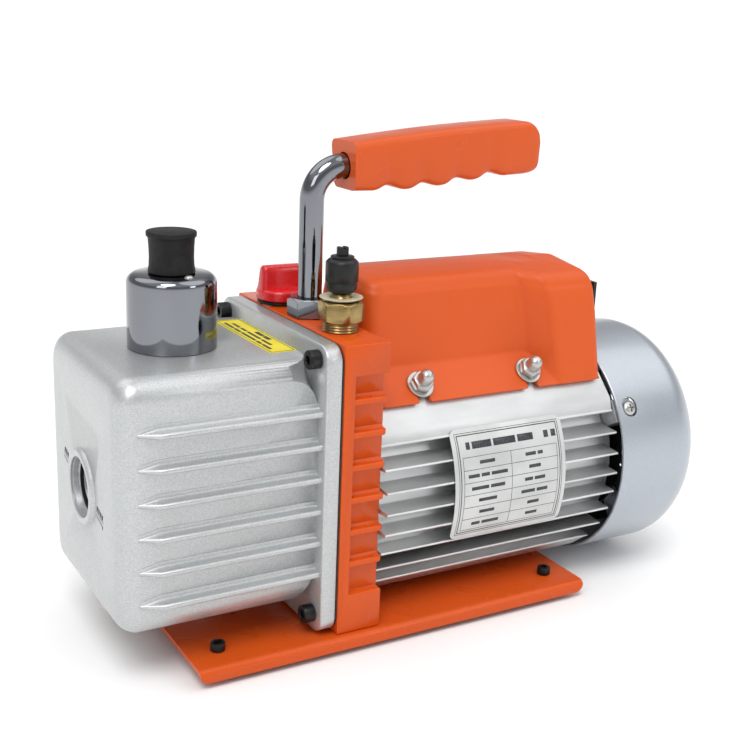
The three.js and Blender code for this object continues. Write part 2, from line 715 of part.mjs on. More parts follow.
const coupling = block.front + 3 + gap;
const shaftProfile = [
  [0, coupling], [shaft.pump, coupling], [shaft.pump, block.rear - 12], [shaft.radius, block.rear - 12],
  [shaft.radius, cover.rim + 1], [5.5, cover.rim + 1], [5.5, shaft.rear], [0, shaft.rear],
];
place("motor_shaft", turnedX(shaftProfile, 0, 0, 16), steel, turning);

const rotorCore = { front: -8, rear: 62, radius: 26.5 };
place(
  "motor_rotor",
  turnedX(
    [
      [shaft.radius + gap, rotorCore.front - 6], [22, rotorCore.front - 6], [22, rotorCore.front],
      [rotorCore.radius, rotorCore.front], [rotorCore.radius, rotorCore.rear], [22, rotorCore.rear],
      [22, rotorCore.rear + 6], [shaft.radius + gap, rotorCore.rear + 6],
      [shaft.radius + gap, rotorCore.front - 6],
    ],
    0, 0, 20,
  ),
  steel,
  turning,
);

const fan = { front: 118.5, rear: 133.5, hub: 15, tip: 52, blades: 9 };

function coolingFan() {
  const hub = turnedX(
    [[0, fan.front], [fan.hub, fan.front], [fan.hub, fan.rear - 2], [fan.hub - 2, fan.rear], [0, fan.rear]],
    0, 0, 16,
  );
  const disc = rodX(fan.tip - 6, fan.front, fan.front + 2, 0, 0, 24);
  const blades = Array.from({ length: fan.blades }, (_, i) => {
    const blade = boxShape(fan.hub - 1, fan.tip, -0.9, 0.9);
    const geometry = new THREE.ExtrudeGeometry(new THREE.Shape(blade), {
      depth: fan.rear - fan.front - 1,
      bevelEnabled: false,
    });
    geometry.translate(0, 0, fan.front + 0.2).applyMatrix4(frames.x);
    return solid(geometry.rotateX((2 * Math.PI * i) / fan.blades));
  });
  return cut(join(hub, disc, ...blades), rodX(5.5 + gap, fan.front - 1, fan.rear + 1, 0, 0, 20));
}
place("cooling_fan", coolingFan(), blackPlastic, turning);

// ---------- motor ----------

// Moves a shape made about the Y axis to a screw's place on the skirt, standing square to the slope.
function onSkirt(geometry, x, side) {
  return geometry
    .rotateX(Math.PI / 2)
    .translate(0, -side * skirtSlide, 0)
    .rotateX(-side * radians(45))
    .translate(x, 0, axisZ);
}

// A round pin square to the skirt, between two distances from the shaft's line.
function skirtPin(x, side, radius, from, to, segments = 8) {
  const profile = [point(0, from), point(radius, from), point(radius, to), point(0, to)];
  return solid(onSkirt(new THREE.LatheGeometry(profile, segments), x, side));
}

function bearing(name, x0, x1) {
  const profile = [
    [shaft.radius + gap, x0], [17.5, x0], [17.5, x1], [shaft.radius + gap, x1], [shaft.radius + gap, x0],
  ];
  place(name, turnedX(profile), steel);
}
bearing("front_bearing", block.rear - 11.2, block.rear - 0.4);

// Half of the housing's section, from the middle of its top to the middle of its bottom, as [y, z] from
// the shaft: flat pads for the terminal box, then level fins that end on one circle.
function housingHalf() {
  const topFlat = 55;
  const padSum = motor.pad * Math.SQRT2; // y + z on the sloping pad
  const side = [[0, topFlat], [padSum - topFlat, topFlat], [50.2, padSum - 50.2]];
  const on = (r, z) => Math.sqrt(r * r - z * z);
  for (let i = 0; i < fins.count; i++) {
    const z = fins.first - i * fins.pitch;
    if (i > 0) side.push([on(motor.root, z + fins.foot / 2), z + fins.foot / 2]);
    side.push([on(motor.fin, z + fins.tip / 2), z + fins.tip / 2]);
    side.push([on(motor.fin, z - fins.tip / 2), z - fins.tip / 2]);
    if (i < fins.count - 1) side.push([on(motor.root, z - fins.foot / 2), z - fins.foot / 2]);
  }
  side.push([30, -54], [0, -54]);
  return side;
}

function motorHousing() {
  const half = housingHalf();
  const left = half.slice(1, -1).map(([y, z]) => point(-y, z + axisZ)).reverse();
  const right = half.map(([y, z]) => point(y, z + axisZ));
  const outline = [...right, ...left];
  const bolts = skirtScrewX.flatMap((x) => [-1, 1].map((side) => skirtPin(x, side, 2.8, 48, 64)));
  return cut(
    prism("x", outline, motor.front, motor.rear),
    rodX(motor.bore, motor.front - 1, motor.rear + 1, 0, axisZ, 32),
    brick(20, 40, -10, 10, axisZ + 40, axisZ + 60), // lead opening under the terminal box
    ...bolts,
  );
}
place("motor_housing", motorHousing(), aluminium);

// Stator: a slotted core with one winding whose two end rings are joined through the slots.
const stator = { front: -8, rear: 62, outer: 45.6, inner: 27.2, slots: 6, slotInner: 30, slotOuter: 38 };
const winding = { overhang: 15, inner: 29, outer: 41 };

const slotAngles = Array.from({ length: stator.slots }, (_, i) => (360 * (i + 0.5)) / stator.slots);

function slotBar(angle, halfWidth, r0, r1, x0, x1) {
  const shape = new THREE.Shape(boxShape(r0, r1, -halfWidth, halfWidth));
  const geometry = new THREE.ExtrudeGeometry(shape, { depth: x1 - x0, bevelEnabled: false });
  geometry.translate(0, 0, x0).applyMatrix4(frames.x).rotateX(radians(angle)).translate(0, 0, axisZ);
  return solid(geometry);
}

place(
  "stator_core",
  cut(
    ringX(stator.inner, stator.outer, stator.front, stator.rear, 0, axisZ, 30),
    ...slotAngles.map((a) =>
      slotBar(a, 6, stator.inner - 3, stator.slotOuter, stator.front - 1, stator.rear + 1),
    ),
  ),
  castIron,
);

function statorWinding() {
  const { overhang, inner, outer } = winding;
  const rings = [
    ringX(inner, outer, stator.front - overhang, stator.front - 1),
    ringX(inner, outer, stator.rear + 1, stator.rear + overhang),
  ];
  const bars = slotAngles.map((a) =>
    slotBar(a, 5, stator.slotInner, stator.slotOuter - 1, stator.front - 2, stator.rear + 2),
  );
  return join(...rings, ...bars);
}
place("stator_winding", statorWinding(), copper);

const endBell = { front: motor.rear + gap, flange: 4, rear: 112, rim: 50, bossRadius: 22 };

function rearEndBell() {
  const seat = 17.8;
  const body = turnedX([
    [9.5, endBell.front - 12], [seat + 4, endBell.front - 12], [seat + 4, endBell.front - 2],
    [45.5, endBell.front - 2], [45.5, endBell.front], [endBell.rim, endBell.front],
    [endBell.rim, endBell.front + endBell.flange], [endBell.bossRadius, endBell.rear],
    [9.5, endBell.rear], [9.5, endBell.front - 12],
  ], 0, axisZ, 24);
  // Ears that reach out to the fan cover, one for each of its screws.
  const ears = coverScrewAngles.map((angle) => {
    const ear = new THREE.Shape(boxShape(endBell.rim - 6, cover.radius - cover.wall - gap - 0.6, -6, 6));
    const geometry = new THREE.ExtrudeGeometry(ear, { depth: 12, bevelEnabled: false });
    geometry
      .translate(0, 0, endBell.front + 0.5)
      .applyMatrix4(frames.x)
      .rotateX(earTurn(angle))
      .translate(0, 0, axisZ);
    return solid(geometry);
  });
  return cut(
    join(body, ...ears),
    rodX(seat, endBell.front - 13, endBell.front - 0.5, 0, axisZ, 20),
    ...coverScrewAngles.map((angle) => radialPin(angle, 2.3, 46, cover.radius + 1)),
  );
}

// Turns a shape that points along +Y so that it points at an angle, counted up from -Y.
function earTurn(angle) {
  return Math.PI - radians(angle);
}

// A round pin that points out from the shaft's line at an angle, at the fan cover's screws.
function radialPin(angle, radius, from, to, segments = 8) {
  const profile = [point(0, from), point(radius, from), point(radius, to), point(0, to)];
  return solid(radial(new THREE.LatheGeometry(profile, segments), angle));
}

function radial(geometry, angle) {
  return geometry.rotateX(earTurn(angle)).translate(coverScrewX, 0, axisZ);
}
place("rear_end_bell", rearEndBell(), aluminium);
bearing("rear_bearing", endBell.front - 11.5, endBell.front - 0.8);

// ---------- fan cover ----------

function fanCover() {
  const { rim, rear, radius, round, wall } = cover;
  const arc = (r) =>
    [0, 30, 60, 90].map(radians).map((a) => [
      radius - round + r * Math.cos(a), rear - round + r * Math.sin(a),
    ]);
  const profile = [
    [radius - wall, rim], [radius, rim], ...arc(round), [0, rear], [0, rear - wall],
    ...arc(round - wall).reverse(), [radius - wall, rim],
  ];
  const shell = turnedX(profile, 0, axisZ, 32);
  // Air slots in two rings over the flat end.
  const rings = [
    { inner: 14, outer: 20, count: 5 },
    { inner: 26, outer: 33, count: 8 },
  ];
  const slots = rings.flatMap(({ inner, outer, count }) =>
    Array.from({ length: count }, (_, i) => {
      const from = (2 * Math.PI * i) / count;
      const to = from + (2 * Math.PI) / count - 6 / outer;
      const shape = new THREE.Shape();
      shape.absarc(0, 0, outer, from, to, false);
      shape.absarc(0, 0, inner, to, from, true);
      const geometry = new THREE.ExtrudeGeometry(shape, {
        depth: 6, bevelEnabled: false, curveSegments: 2,
      });
      geometry.translate(0, 0, rear - 4).applyMatrix4(frames.x).translate(0, 0, axisZ);
      return solid(geometry);
    }),
  );
  const screwHoles = coverScrewAngles.map((angle) => radialPin(angle, 4.6, radius - 8, radius + 4, 10));
  return cut(shell, ...slots, ...screwHoles);
}
place("fan_cover", fanCover(), coverPaint);

coverScrewAngles.forEach((angle, i) => {
  const seat = cover.radius - cover.wall - gap;
  const profile = [
    [0, 50], [2, 50], [2, seat], [4, seat], [4, seat + 0.8], [3, seat + 2], [0, seat + 2.6],
  ].map(([r, h]) => point(r, h));
  place("fan_cover_screw_" + (i + 1), solid(radial(new THREE.LatheGeometry(profile, 10), angle)), zincSteel);
});

// ---------- terminal box with its nuts, capacitor, switch and power socket ----------

// The box's outline in plan at a height from 0, at its foot, to 1, at its top edge.
function boxLoop(t) {
  const lift = box.bottom + t * (box.top - box.bottom);
  const front = box.front + 5 * t;
  const narrow = 32 - 8 * t;
  const wide = 45.5 - 12.5 * t;
  const start = boxStep.start - boxStep.lean * t;
  const end = boxStep.end - boxStep.lean * t;
  const crown = (y) => (t === 1 ? -5.5 * (y / 33) ** 2 : 0);
  const half = [
    [front, 0], [front, narrow - 6], [front + 1.8, narrow - 1.8], [front + 6, narrow],
    [start - 3, narrow], [start, narrow + 1], [end - 1, wide - 1.5], [end + 3, wide],
    [box.rear - 5, wide], [box.rear - 1.5, wide - 1.5], [box.rear, wide - 5], [box.rear, 0],
  ];
  const near = half.slice(1).reverse().map(([x, y]) => [x, -y]);
  const far = half.map(([x, y]) => [x, y]);
  const loop = [...far.slice(0, -1), ...near];
  return loop.map(([x, y]) => new THREE.Vector3(x, y, lift + crown(y))).reverse();
}

function terminalBox() {
  const top = boxLoop(1);
  const shoulder = top.map((p) => p.clone().setZ(p.z - 5));
  const middle = new THREE.Vector3((box.front + box.rear) / 2, 0, 0);
  const inset = top.map((p) => {
    const q = p.clone();
    q.x += 4.5 * Math.sign(middle.x - p.x) * (Math.abs(p.x - middle.x) > 50 ? 1 : 0);
    q.y -= 4.5 * Math.sign(p.y) * Math.min(1, Math.abs(p.y) / 5);
    return q;
  });
  const outer = skinned([boxLoop(0), shoulder, inset]);
  const skirtLine = box.skirt * Math.SQRT2;
  const { front } = box;
  // The skirt: a strip along each slope of the housing.
  const skirts = [-1, 1].map((side) => {
    const shape = [
      point(side * 20, axisZ + skirtLine - 20), point(side * 46.5, axisZ + skirtLine - 46.5),
      point(side * 43.5, axisZ + skirtLine - 49.5), point(side * 17, axisZ + skirtLine - 23),
    ];
    return prism("x", side < 0 ? shape : shape.reverse(), front, boxStep.end + 20);
  });
  const clear = (motor.pad + gap) * Math.SQRT2;
  const roof = 55 + gap;
  const clearance = prism(
    "x",
    [
      point(-70, axisZ + clear - 70), point(-(clear - roof), axisZ + roof), point(clear - roof, axisZ + roof),
      point(70, axisZ + clear - 70), point(70, axisZ - 20), point(-70, axisZ - 20),
    ].reverse(),
    front - 5,
    box.rear + 5,
  );
  const cavity = join(
    brick(front + 9, boxStep.end, -20.5, 20.5, axisZ + 50, 163.5),
    brick(boxStep.end - 4, box.rear - box.wall, -31.5, 31.5, axisZ + 50, 163.5),
  );
  // Each screw's slot, open at the skirt's lower edge.
  const slots = skirtScrewX.flatMap((x) =>
    [-1, 1].map((side) => {
      const slot = new THREE.BoxGeometry(5.6, 12, 33).translate(0, 60, 33 / 2 - 2.8);
      return solid(onSkirt(side < 0 ? slot : slot.rotateY(Math.PI), x, side));
    }),
  );
  const openings = [socketOpening(gap), rockerOpening(gap)];
  return cut(join(...skirts, outer), ...openings, ...slots, cavity, clearance);
}

function rearOpening({ y, z, width, height }, margin) {
  return brick(
    box.rear - box.wall - 1, box.rear + 1, y - width / 2 - margin, y + width / 2 + margin,
    z - height / 2 - margin, z + height / 2 + margin,
  );
}
const socketOpening = (margin) => rearOpening(socket, margin);
const rockerOpening = (margin) => rearOpening(rocker, margin);
place("terminal_box", terminalBox(), orangePlastic);

skirtScrewX.forEach((x, pair) => {
  [-1, 1].forEach((side, i) => {
    const seat = box.skirt + gap;
    const nut = { flats: 10, hexTop: seat + 6.5, top: seat + 13, radius: 3.9 };
    const turnedProfile = [
      [0, 54], [2.4, 54], [2.4, seat], [7, seat], [7, seat + 1.1], [4.6, seat + 1.4],
      [4.6, nut.hexTop], [nut.radius, nut.hexTop + 0.3], [nut.radius, nut.top - 3], [2.6, nut.top - 0.8],
      [0, nut.top],
    ].map(([r, h]) => point(r, h));
    const hexagon = new THREE.ExtrudeGeometry(new THREE.Shape(hexShape(nut.flats)), {
      depth: nut.hexTop - seat - 0.5, bevelEnabled: false,
    });
    hexagon.rotateX(-Math.PI / 2).translate(0, seat + 0.5, 0);
    const body = join(
      solid(onSkirt(new THREE.LatheGeometry(turnedProfile, 9), x, side)),
      solid(onSkirt(hexagon, x, side)),
    );
    place("cap_nut_" + (2 * pair + i + 1), body, zincSteel);
  });
});

const capacitor = { x0: -16, x1: 44, radius: 15.5, z: 142 };
place(
  "run_capacitor",
  join(
    rodX(capacitor.radius, capacitor.x0, capacitor.x1, 0, capacitor.z, 20),
    brick(capacitor.x1 - 1, capacitor.x1 + 9, -8.4, -7.6, capacitor.z - 3, capacitor.z + 3),
    brick(capacitor.x1 - 1, capacitor.x1 + 9, 7.6, 8.4, capacitor.z - 3, capacitor.z + 3),
  ),
  capPlastic,
);

// A tray let into the box's rear wall, with a rim outside it and a recess inside the rim.
const rimSeat = box.rear + gap;
function wallTray({ y, z, width, height, depth }, rim, wall) {
  const block = (dy, dz, x0, x1) => brick(x0, x1, y - dy, y + dy, z - dz, z + dz);
  const halfY = width / 2;
  const halfZ = height / 2;
  return cut(
    join(
      block(halfY + 1.6, halfZ + 1.6, rimSeat, rimSeat + rim),
      block(halfY, halfZ, box.rear - depth, rimSeat + rim / 2),
    ),
    block(halfY - wall, halfZ - wall, box.rear - depth + wall, rimSeat + rim + 1),
  );
}

place("switch_housing", wallTray(rocker, 1.6, 1.4), blackPlastic);

const rockerPivot = new THREE.Group();
rockerPivot.position.set(box.rear - 0.4, rocker.y, rocker.z);
rockerPivot.rotation.y = radians(rocker.tilt);
pump.add(rockerPivot);
const rockerShape = [
  point(-7.2, 3.4), point(-7, -2), point(-3.5, -5.5), point(3.5, -5.5), point(7, -2), point(7.2, 3.4),
  point(0, 2.2),
];
place("switch_rocker", prism("y", rockerShape, -4.7, 4.7), blackPlastic, rockerPivot);

function powerInlet() {
  const tray = wallTray(socket, 2, 1.6);
  const back = box.rear - socket.depth + 1;
  const pins = [[-7, -1.5], [0, 2], [7, -1.5]].map(([dy, dz]) =>
    brick(back, box.rear - 2, socket.y + dy - 1, socket.y + dy + 1, socket.z + dz - 2, socket.z + dz + 2),
  );
  return join(tray, ...pins);
}
place("power_inlet", powerInlet(), blackPlastic);

export default pump;
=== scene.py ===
import math
import bmesh
import bpy
from mathutils import Matrix, Vector


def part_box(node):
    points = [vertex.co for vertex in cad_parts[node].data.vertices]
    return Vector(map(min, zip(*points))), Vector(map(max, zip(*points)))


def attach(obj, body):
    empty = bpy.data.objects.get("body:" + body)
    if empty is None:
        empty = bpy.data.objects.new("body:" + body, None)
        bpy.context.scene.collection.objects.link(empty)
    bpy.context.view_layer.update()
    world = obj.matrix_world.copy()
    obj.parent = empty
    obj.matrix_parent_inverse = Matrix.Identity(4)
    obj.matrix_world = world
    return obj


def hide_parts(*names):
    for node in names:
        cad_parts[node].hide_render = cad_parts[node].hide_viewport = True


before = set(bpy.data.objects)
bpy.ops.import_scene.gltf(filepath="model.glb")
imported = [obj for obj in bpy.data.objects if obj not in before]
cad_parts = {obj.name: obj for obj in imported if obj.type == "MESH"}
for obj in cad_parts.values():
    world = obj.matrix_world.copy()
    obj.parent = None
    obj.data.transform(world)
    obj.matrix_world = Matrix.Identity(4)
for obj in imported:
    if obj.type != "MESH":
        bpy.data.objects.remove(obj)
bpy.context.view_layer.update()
mm = 0.001
scene = bpy.context.scene


def nodeBox(node):  # a CAD node's lowest and highest corners, in millimetres
    low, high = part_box(node)
    return low / mm, high / mm


def middleOf(node):
    low, high = nodeBox(node)
    return (low + high) / 2


shaftZ = middleOf("motor_shaft").z  # height of the shaft's line


cameraLook = {
    "place": (-311.2, -509.9, 288.9),
    "yaw": 30.57,  # turned to the right of straight ahead
    "down": 16.17,
    "roll": 2.30,
    "lens": 57.8,
}


def makeCamera():
    yaw, down, roll = (math.radians(cameraLook[k]) for k in ("yaw", "down", "roll"))
    forward = Vector((math.sin(yaw) * math.cos(down), math.cos(yaw) * math.cos(down), -math.sin(down)))
    right = Vector((math.cos(yaw), -math.sin(yaw), 0))
    up = right.cross(forward)
    turnedRight = right * math.cos(roll) + up * math.sin(roll)
    turnedUp = up * math.cos(roll) - right * math.sin(roll)
    data = bpy.data.cameras.new("camera")
    data.lens = cameraLook["lens"]
    data.sensor_width = 36
    camera = bpy.data.objects.new("camera", data)
    turn = Matrix((turnedRight, turnedUp, -forward)).transposed().to_4x4()
    camera.matrix_world = Matrix.Translation(Vector(cameraLook["place"]) * mm) @ turn
    scene.collection.objects.link(camera)
    scene.camera = camera


makeCamera()
print("camera placed")


# the finishes' noise sizes and bump depths are in millimetres

def newFinish(name, colour, roughness, metallic=0.0):
    made = bpy.data.materials.new(name)
    made.use_nodes = True
    made.diffuse_color = (*colour, 1)
    shader = made.node_tree.nodes["Principled BSDF"]
    shader.inputs["Base Color"].default_value = (*colour, 1)
    shader.inputs["Roughness"].default_value = roughness
    shader.inputs["Metallic"].default_value = metallic
    return made, made.node_tree, shader


def noiseOf(tree, size, detail=2.0, stretch=(1, 1, 1)):
    coords = tree.nodes.new("ShaderNodeTexCoord")
    mapping = tree.nodes.new("ShaderNodeMapping")
    mapping.inputs["Scale"].default_value = [1 / (s * mm * size) for s in stretch]
    noise = tree.nodes.new("ShaderNodeTexNoise")
    noise.inputs["Scale"].default_value = 1
    noise.inputs["Detail"].default_value = detail
    tree.links.new(coords.outputs["Object"], mapping.inputs["Vector"])
    tree.links.new(mapping.outputs["Vector"], noise.inputs["Vector"])
    return noise.outputs["Fac"]


def cellsOf(tree, size):  # a random colour for each cell
    coords = tree.nodes.new("ShaderNodeTexCoord")
    cells = tree.nodes.new("ShaderNodeTexVoronoi")
    cells.inputs["Scale"].default_value = 1 / (size * mm)
    tree.links.new(coords.outputs["Object"], cells.inputs["Vector"])
    return cells.outputs["Color"]


def varyRoughness(tree, shader, value, low, high):
    span = tree.nodes.new("ShaderNodeMapRange")
    span.inputs["To Min"].default_value = low
    span.inputs["To Max"].default_value = high
    tree.links.new(value, span.inputs["Value"])
    tree.links.new(span.outputs["Result"], shader.inputs["Roughness"])


def varyColour(tree, shader, value, first, second, start=0.35, end=0.65):
    ramp = tree.nodes.new("ShaderNodeValToRGB")
    ramp.color_ramp.elements[0].position = start
    ramp.color_ramp.elements[0].color = (*first, 1)
    ramp.color_ramp.elements[1].position = end
    ramp.color_ramp.elements[1].color = (*second, 1)
    tree.links.new(value, ramp.inputs["Fac"])
    tree.links.new(ramp.outputs["Color"], shader.inputs["Base Color"])


def addBump(tree, shader, value, depth, strength=0.5):
    bump = tree.nodes.new("ShaderNodeBump")
    bump.inputs["Distance"].default_value = depth * mm
    bump.inputs["Strength"].default_value = strength
    tree.links.new(value, bump.inputs["Height"])
    before = shader.inputs["Normal"].links
    if before:
        tree.links.new(before[0].from_socket, bump.inputs["Normal"])
    tree.links.new(bump.outputs["Normal"], shader.inputs["Normal"])


def shade(colour, factor):
    return tuple(min(1, c * factor) for c in colour)


def varyShade(tree, shader, value, colour, darkest, lightest, start=0.35, end=0.65):
    varyColour(tree, shader, value, shade(colour, darkest), shade(colour, lightest), start, end)


def coat(shader, weight, roughness):
    shader.inputs["Coat Weight"].default_value = weight
    shader.inputs["Coat Roughness"].default_value = roughness


def fleckValues(tree, size):  # two random values for each fleck
    split = tree.nodes.new("ShaderNodeSeparateColor")
    tree.links.new(cellsOf(tree, size), split.inputs["Color"])
    return split.outputs["Red"], split.outputs["Green"]


enamel = {"orange": (0.60, 0.080, 0.008), "plastic": (0.61, 0.086, 0.010)}


def enamelPaint():  # gloss orange enamel over a casting
    made, tree, shader = newFinish("orange_enamel", enamel["orange"], 0.28)
    coat(shader, 0.15, 0.1)
    shader.inputs["Specular IOR Level"].default_value = 0.2
    clouds = noiseOf(tree, 45, 1)
    varyShade(tree, shader, clouds, enamel["orange"], 0.96, 1.03, 0.2, 0.8)
    varyRoughness(tree, shader, noiseOf(tree, 14, 0), 0.2, 0.38)
    addBump(tree, shader, noiseOf(tree, 3.0, 1), 0.03, 0.25)  # orange peel
    return made


def stippledPlastic():  # moulded orange plastic with a fine spark-eroded texture
    made, tree, shader = newFinish("orange_stippled", enamel["plastic"], 0.42)
    shader.inputs["Specular IOR Level"].default_value = 0.28
    coat(shader, 0.06, 0.3)
    varyShade(tree, shader, noiseOf(tree, 40, 1), enamel["plastic"], 0.97, 1.03, 0.2, 0.8)
    varyRoughness(tree, shader, noiseOf(tree, 1.2, 2), 0.36, 0.5)
    addBump(tree, shader, noiseOf(tree, 0.55, 3), 0.08, 0.45)
    return made


def gripPlastic():  # the same orange, polished by hands
    made, tree, shader = newFinish("orange_grip", enamel["plastic"], 0.3)
    shader.inputs["Specular IOR Level"].default_value = 0.25
    coat(shader, 0.12, 0.2)
    varyShade(tree, shader, noiseOf(tree, 35, 1), enamel["plastic"], 0.97, 1.03, 0.2, 0.8)
    varyRoughness(tree, shader, noiseOf(tree, 12, 0), 0.22, 0.42)
    addBump(tree, shader, noiseOf(tree, 1.4, 1), 0.015, 0.25)
    return made


def fleckPaint():  # silver paint with fine metal flecks, under a thin clear coat
    silver = (0.50, 0.515, 0.515)
    made, tree, shader = newFinish("silver_fleck", silver, 0.4, 0.62)
    coat(shader, 0.35, 0.15)
    brightness, height = fleckValues(tree, 0.35)
    varyShade(tree, shader, brightness, silver, 0.9, 1.14, 0.1, 0.95)
    varyRoughness(tree, shader, noiseOf(tree, 9, 3), 0.34, 0.46)
    addBump(tree, shader, height, 0.012, 0.35)
    addBump(tree, shader, noiseOf(tree, 5, 2), 0.05, 0.25)
    return made


def coverPaint():  # smoother, slightly blue silver on the pressed fan cover
    silver = (0.43, 0.465, 0.505)
    made, tree, shader = newFinish("silver_cover", silver, 0.34, 0.7)
    coat(shader, 0.4, 0.1)
    brightness, _ = fleckValues(tree, 0.3)
    varyShade(tree, shader, brightness, silver, 0.94, 1.08, 0.1, 0.95)
    varyRoughness(tree, shader, noiseOf(tree, 16, 3), 0.3, 0.4)
    addBump(tree, shader, noiseOf(tree, 3, 2), 0.02, 0.2)
    return made


def drawnAluminium():  # extruded fins, with draw lines along the shaft
    metal = (0.66, 0.67, 0.67)
    made, tree, shader = newFinish("drawn_aluminium", metal, 0.4, 0.85)
    lines = noiseOf(tree, 0.5, 3, (60, 1, 1))
    varyShade(tree, shader, noiseOf(tree, 14, 3, (3, 1, 1)), metal, 0.88, 1.06)
    varyRoughness(tree, shader, lines, 0.34, 0.5)
    addBump(tree, shader, lines, 0.02, 0.3)
    return made


def castAluminium():
    metal = (0.5, 0.51, 0.52)
    made, tree, shader = newFinish("cast_aluminium", metal, 0.5, 0.85)
    varyShade(tree, shader, noiseOf(tree, 5, 4), metal, 0.8, 1.08)
    addBump(tree, shader, noiseOf(tree, 0.8, 3), 0.08, 0.4)
    return made


def chromePlate():
    made, tree, shader = newFinish("chrome_plate", (0.23, 0.24, 0.26), 0.07, 1.0)
    varyRoughness(tree, shader, noiseOf(tree, 12, 4), 0.04, 0.11)
    addBump(tree, shader, noiseOf(tree, 7, 3), 0.02, 0.15)
    return made


def zincPlate():
    metal = (0.52, 0.52, 0.50)
    made, tree, shader = newFinish("zinc_plate", metal, 0.34, 0.9)
    varyShade(tree, shader, noiseOf(tree, 6, 2), metal, 0.9, 1.06)
    varyRoughness(tree, shader, noiseOf(tree, 4, 2), 0.28, 0.4)
    return made


def turnedBrass():
    metal = (0.36, 0.255, 0.105)
    made, tree, shader = newFinish("turned_brass", metal, 0.26, 1.0)
    varyShade(tree, shader, noiseOf(tree, 6, 2), metal, 0.85, 1.1)
    lines = noiseOf(tree, 0.25, 2, (30, 30, 1))
    varyRoughness(tree, shader, lines, 0.18, 0.34)
    addBump(tree, shader, lines, 0.01, 0.25)
    return made


def blackOxide():
    made, tree, shader = newFinish("black_oxide", (0.018, 0.018, 0.019), 0.38, 0.7)
    varyRoughness(tree, shader, noiseOf(tree, 1.5, 3), 0.28, 0.5)
    varyColour(tree, shader, noiseOf(tree, 3, 3), (0.012, 0.012, 0.013), (0.03, 0.029, 0.028))
    return made


def softRubber():
    made, tree, shader = newFinish("soft_rubber", (0.008, 0.008, 0.009), 0.6)
    shader.inputs["Specular IOR Level"].default_value = 0.25
    varyColour(tree, shader, noiseOf(tree, 6, 4), (0.006, 0.006, 0.007), (0.014, 0.014, 0.015))
    varyRoughness(tree, shader, noiseOf(tree, 2, 3), 0.45, 0.68)
    addBump(tree, shader, noiseOf(tree, 0.4, 2), 0.03, 0.35)
    return made


def blackPlastic():
    made, tree, shader = newFinish("black_moulding", (0.009, 0.009, 0.010), 0.4)
    shader.inputs["Specular IOR Level"].default_value = 0.35
    varyColour(tree, shader, noiseOf(tree, 8, 3), (0.006, 0.006, 0.007), (0.013, 0.013, 0.014))
    varyRoughness(tree, shader, noiseOf(tree, 1.5, 3), 0.33, 0.48)
    addBump(tree, shader, noiseOf(tree, 0.5, 2), 0.03, 0.3)
    return made


def redPlastic():
    red = (0.62, 0.008, 0.012)
    made, tree, shader = newFinish("red_moulding", red, 0.28)
    coat(shader, 0.3, 0.12)
    varyShade(tree, shader, noiseOf(tree, 12, 3), red, 0.9, 1.06)
    varyRoughness(tree, shader, noiseOf(tree, 4, 3), 0.22, 0.34)
    return made


def creamNylon():
    made, tree, shader = newFinish("cream_nylon", (0.55, 0.50, 0.34), 0.42)
    shader.inputs["Subsurface Weight"].default_value = 0.15
    shader.inputs["Subsurface Radius"].default_value = (0.002, 0.0015, 0.001)
    varyColour(tree, shader, noiseOf(tree, 5, 2), (0.48, 0.43, 0.28), (0.62, 0.57, 0.40))
    return made


def smokedGlass():
    made, tree, shader = newFinish("smoked_glass", (0.012, 0.015, 0.016), 0.04)
    coat(shader, 1.0, 0.02)
    varyColour(tree, shader, noiseOf(tree, 18, 2), (0.008, 0.010, 0.011), (0.05, 0.045, 0.035))
    varyRoughness(tree, shader, noiseOf(tree, 7, 2), 0.02, 0.08)
    return made


def darkIron():
    made, tree, shader = newFinish("dark_iron", (0.09, 0.092, 0.095), 0.6, 0.8)
    varyColour(tree, shader, noiseOf(tree, 2, 4), (0.06, 0.06, 0.062), (0.13, 0.13, 0.135))
    addBump(tree, shader, noiseOf(tree, 0.7, 3), 0.08, 0.4)
    return made


def machinedSteel():
    metal = (0.42, 0.43, 0.44)
    made, tree, shader = newFinish("machined_steel", metal, 0.3, 1.0)
    lines = noiseOf(tree, 0.3, 2, (1, 12, 12))
    varyRoughness(tree, shader, lines, 0.22, 0.4)
    addBump(tree, shader, lines, 0.01, 0.25)
    varyShade(tree, shader, noiseOf(tree, 6, 3), metal, 0.9, 1.05)
    return made


def copperWire():
    metal = (0.45, 0.17, 0.07)
    made, tree, shader = newFinish("copper_wire", metal, 0.35, 0.9)
    turns = noiseOf(tree, 0.9, 1, (1, 14, 14))
    varyShade(tree, shader, turns, metal, 0.5, 1.2)
    addBump(tree, shader, turns, 0.3, 0.6)
    return made


def gasketSheet():
    made, tree, shader = newFinish("gasket_sheet", (0.02, 0.02, 0.019), 0.85)
    varyColour(tree, shader, noiseOf(tree, 1, 3), (0.014, 0.014, 0.013), (0.04, 0.038, 0.034))
    addBump(tree, shader, noiseOf(tree, 0.4, 2), 0.05, 0.4)
    return made


def whitePlastic():
    made, tree, shader = newFinish("white_moulding", (0.66, 0.66, 0.62), 0.45)
    varyColour(tree, shader, noiseOf(tree, 9, 3), (0.6, 0.6, 0.56), (0.7, 0.7, 0.66))
    return made


def plateMetal():  # brushed rating plate
    metal = (0.60, 0.61, 0.60)
    made, tree, shader = newFinish("plate_metal", metal, 0.42, 0.55)
    lines = noiseOf(tree, 0.3, 3, (40, 1, 1))
    varyShade(tree, shader, noiseOf(tree, 20, 3), metal, 0.92, 1.06)
    varyRoughness(tree, shader, lines, 0.36, 0.5)
    addBump(tree, shader, lines, 0.01, 0.25)
    return made


def printInk():
    made, tree, shader = newFinish("print_ink", (0.03, 0.032, 0.036), 0.5)
    varyColour(tree, shader, noiseOf(tree, 0.8, 3), (0.02, 0.022, 0.026), (0.06, 0.062, 0.07))
    return made


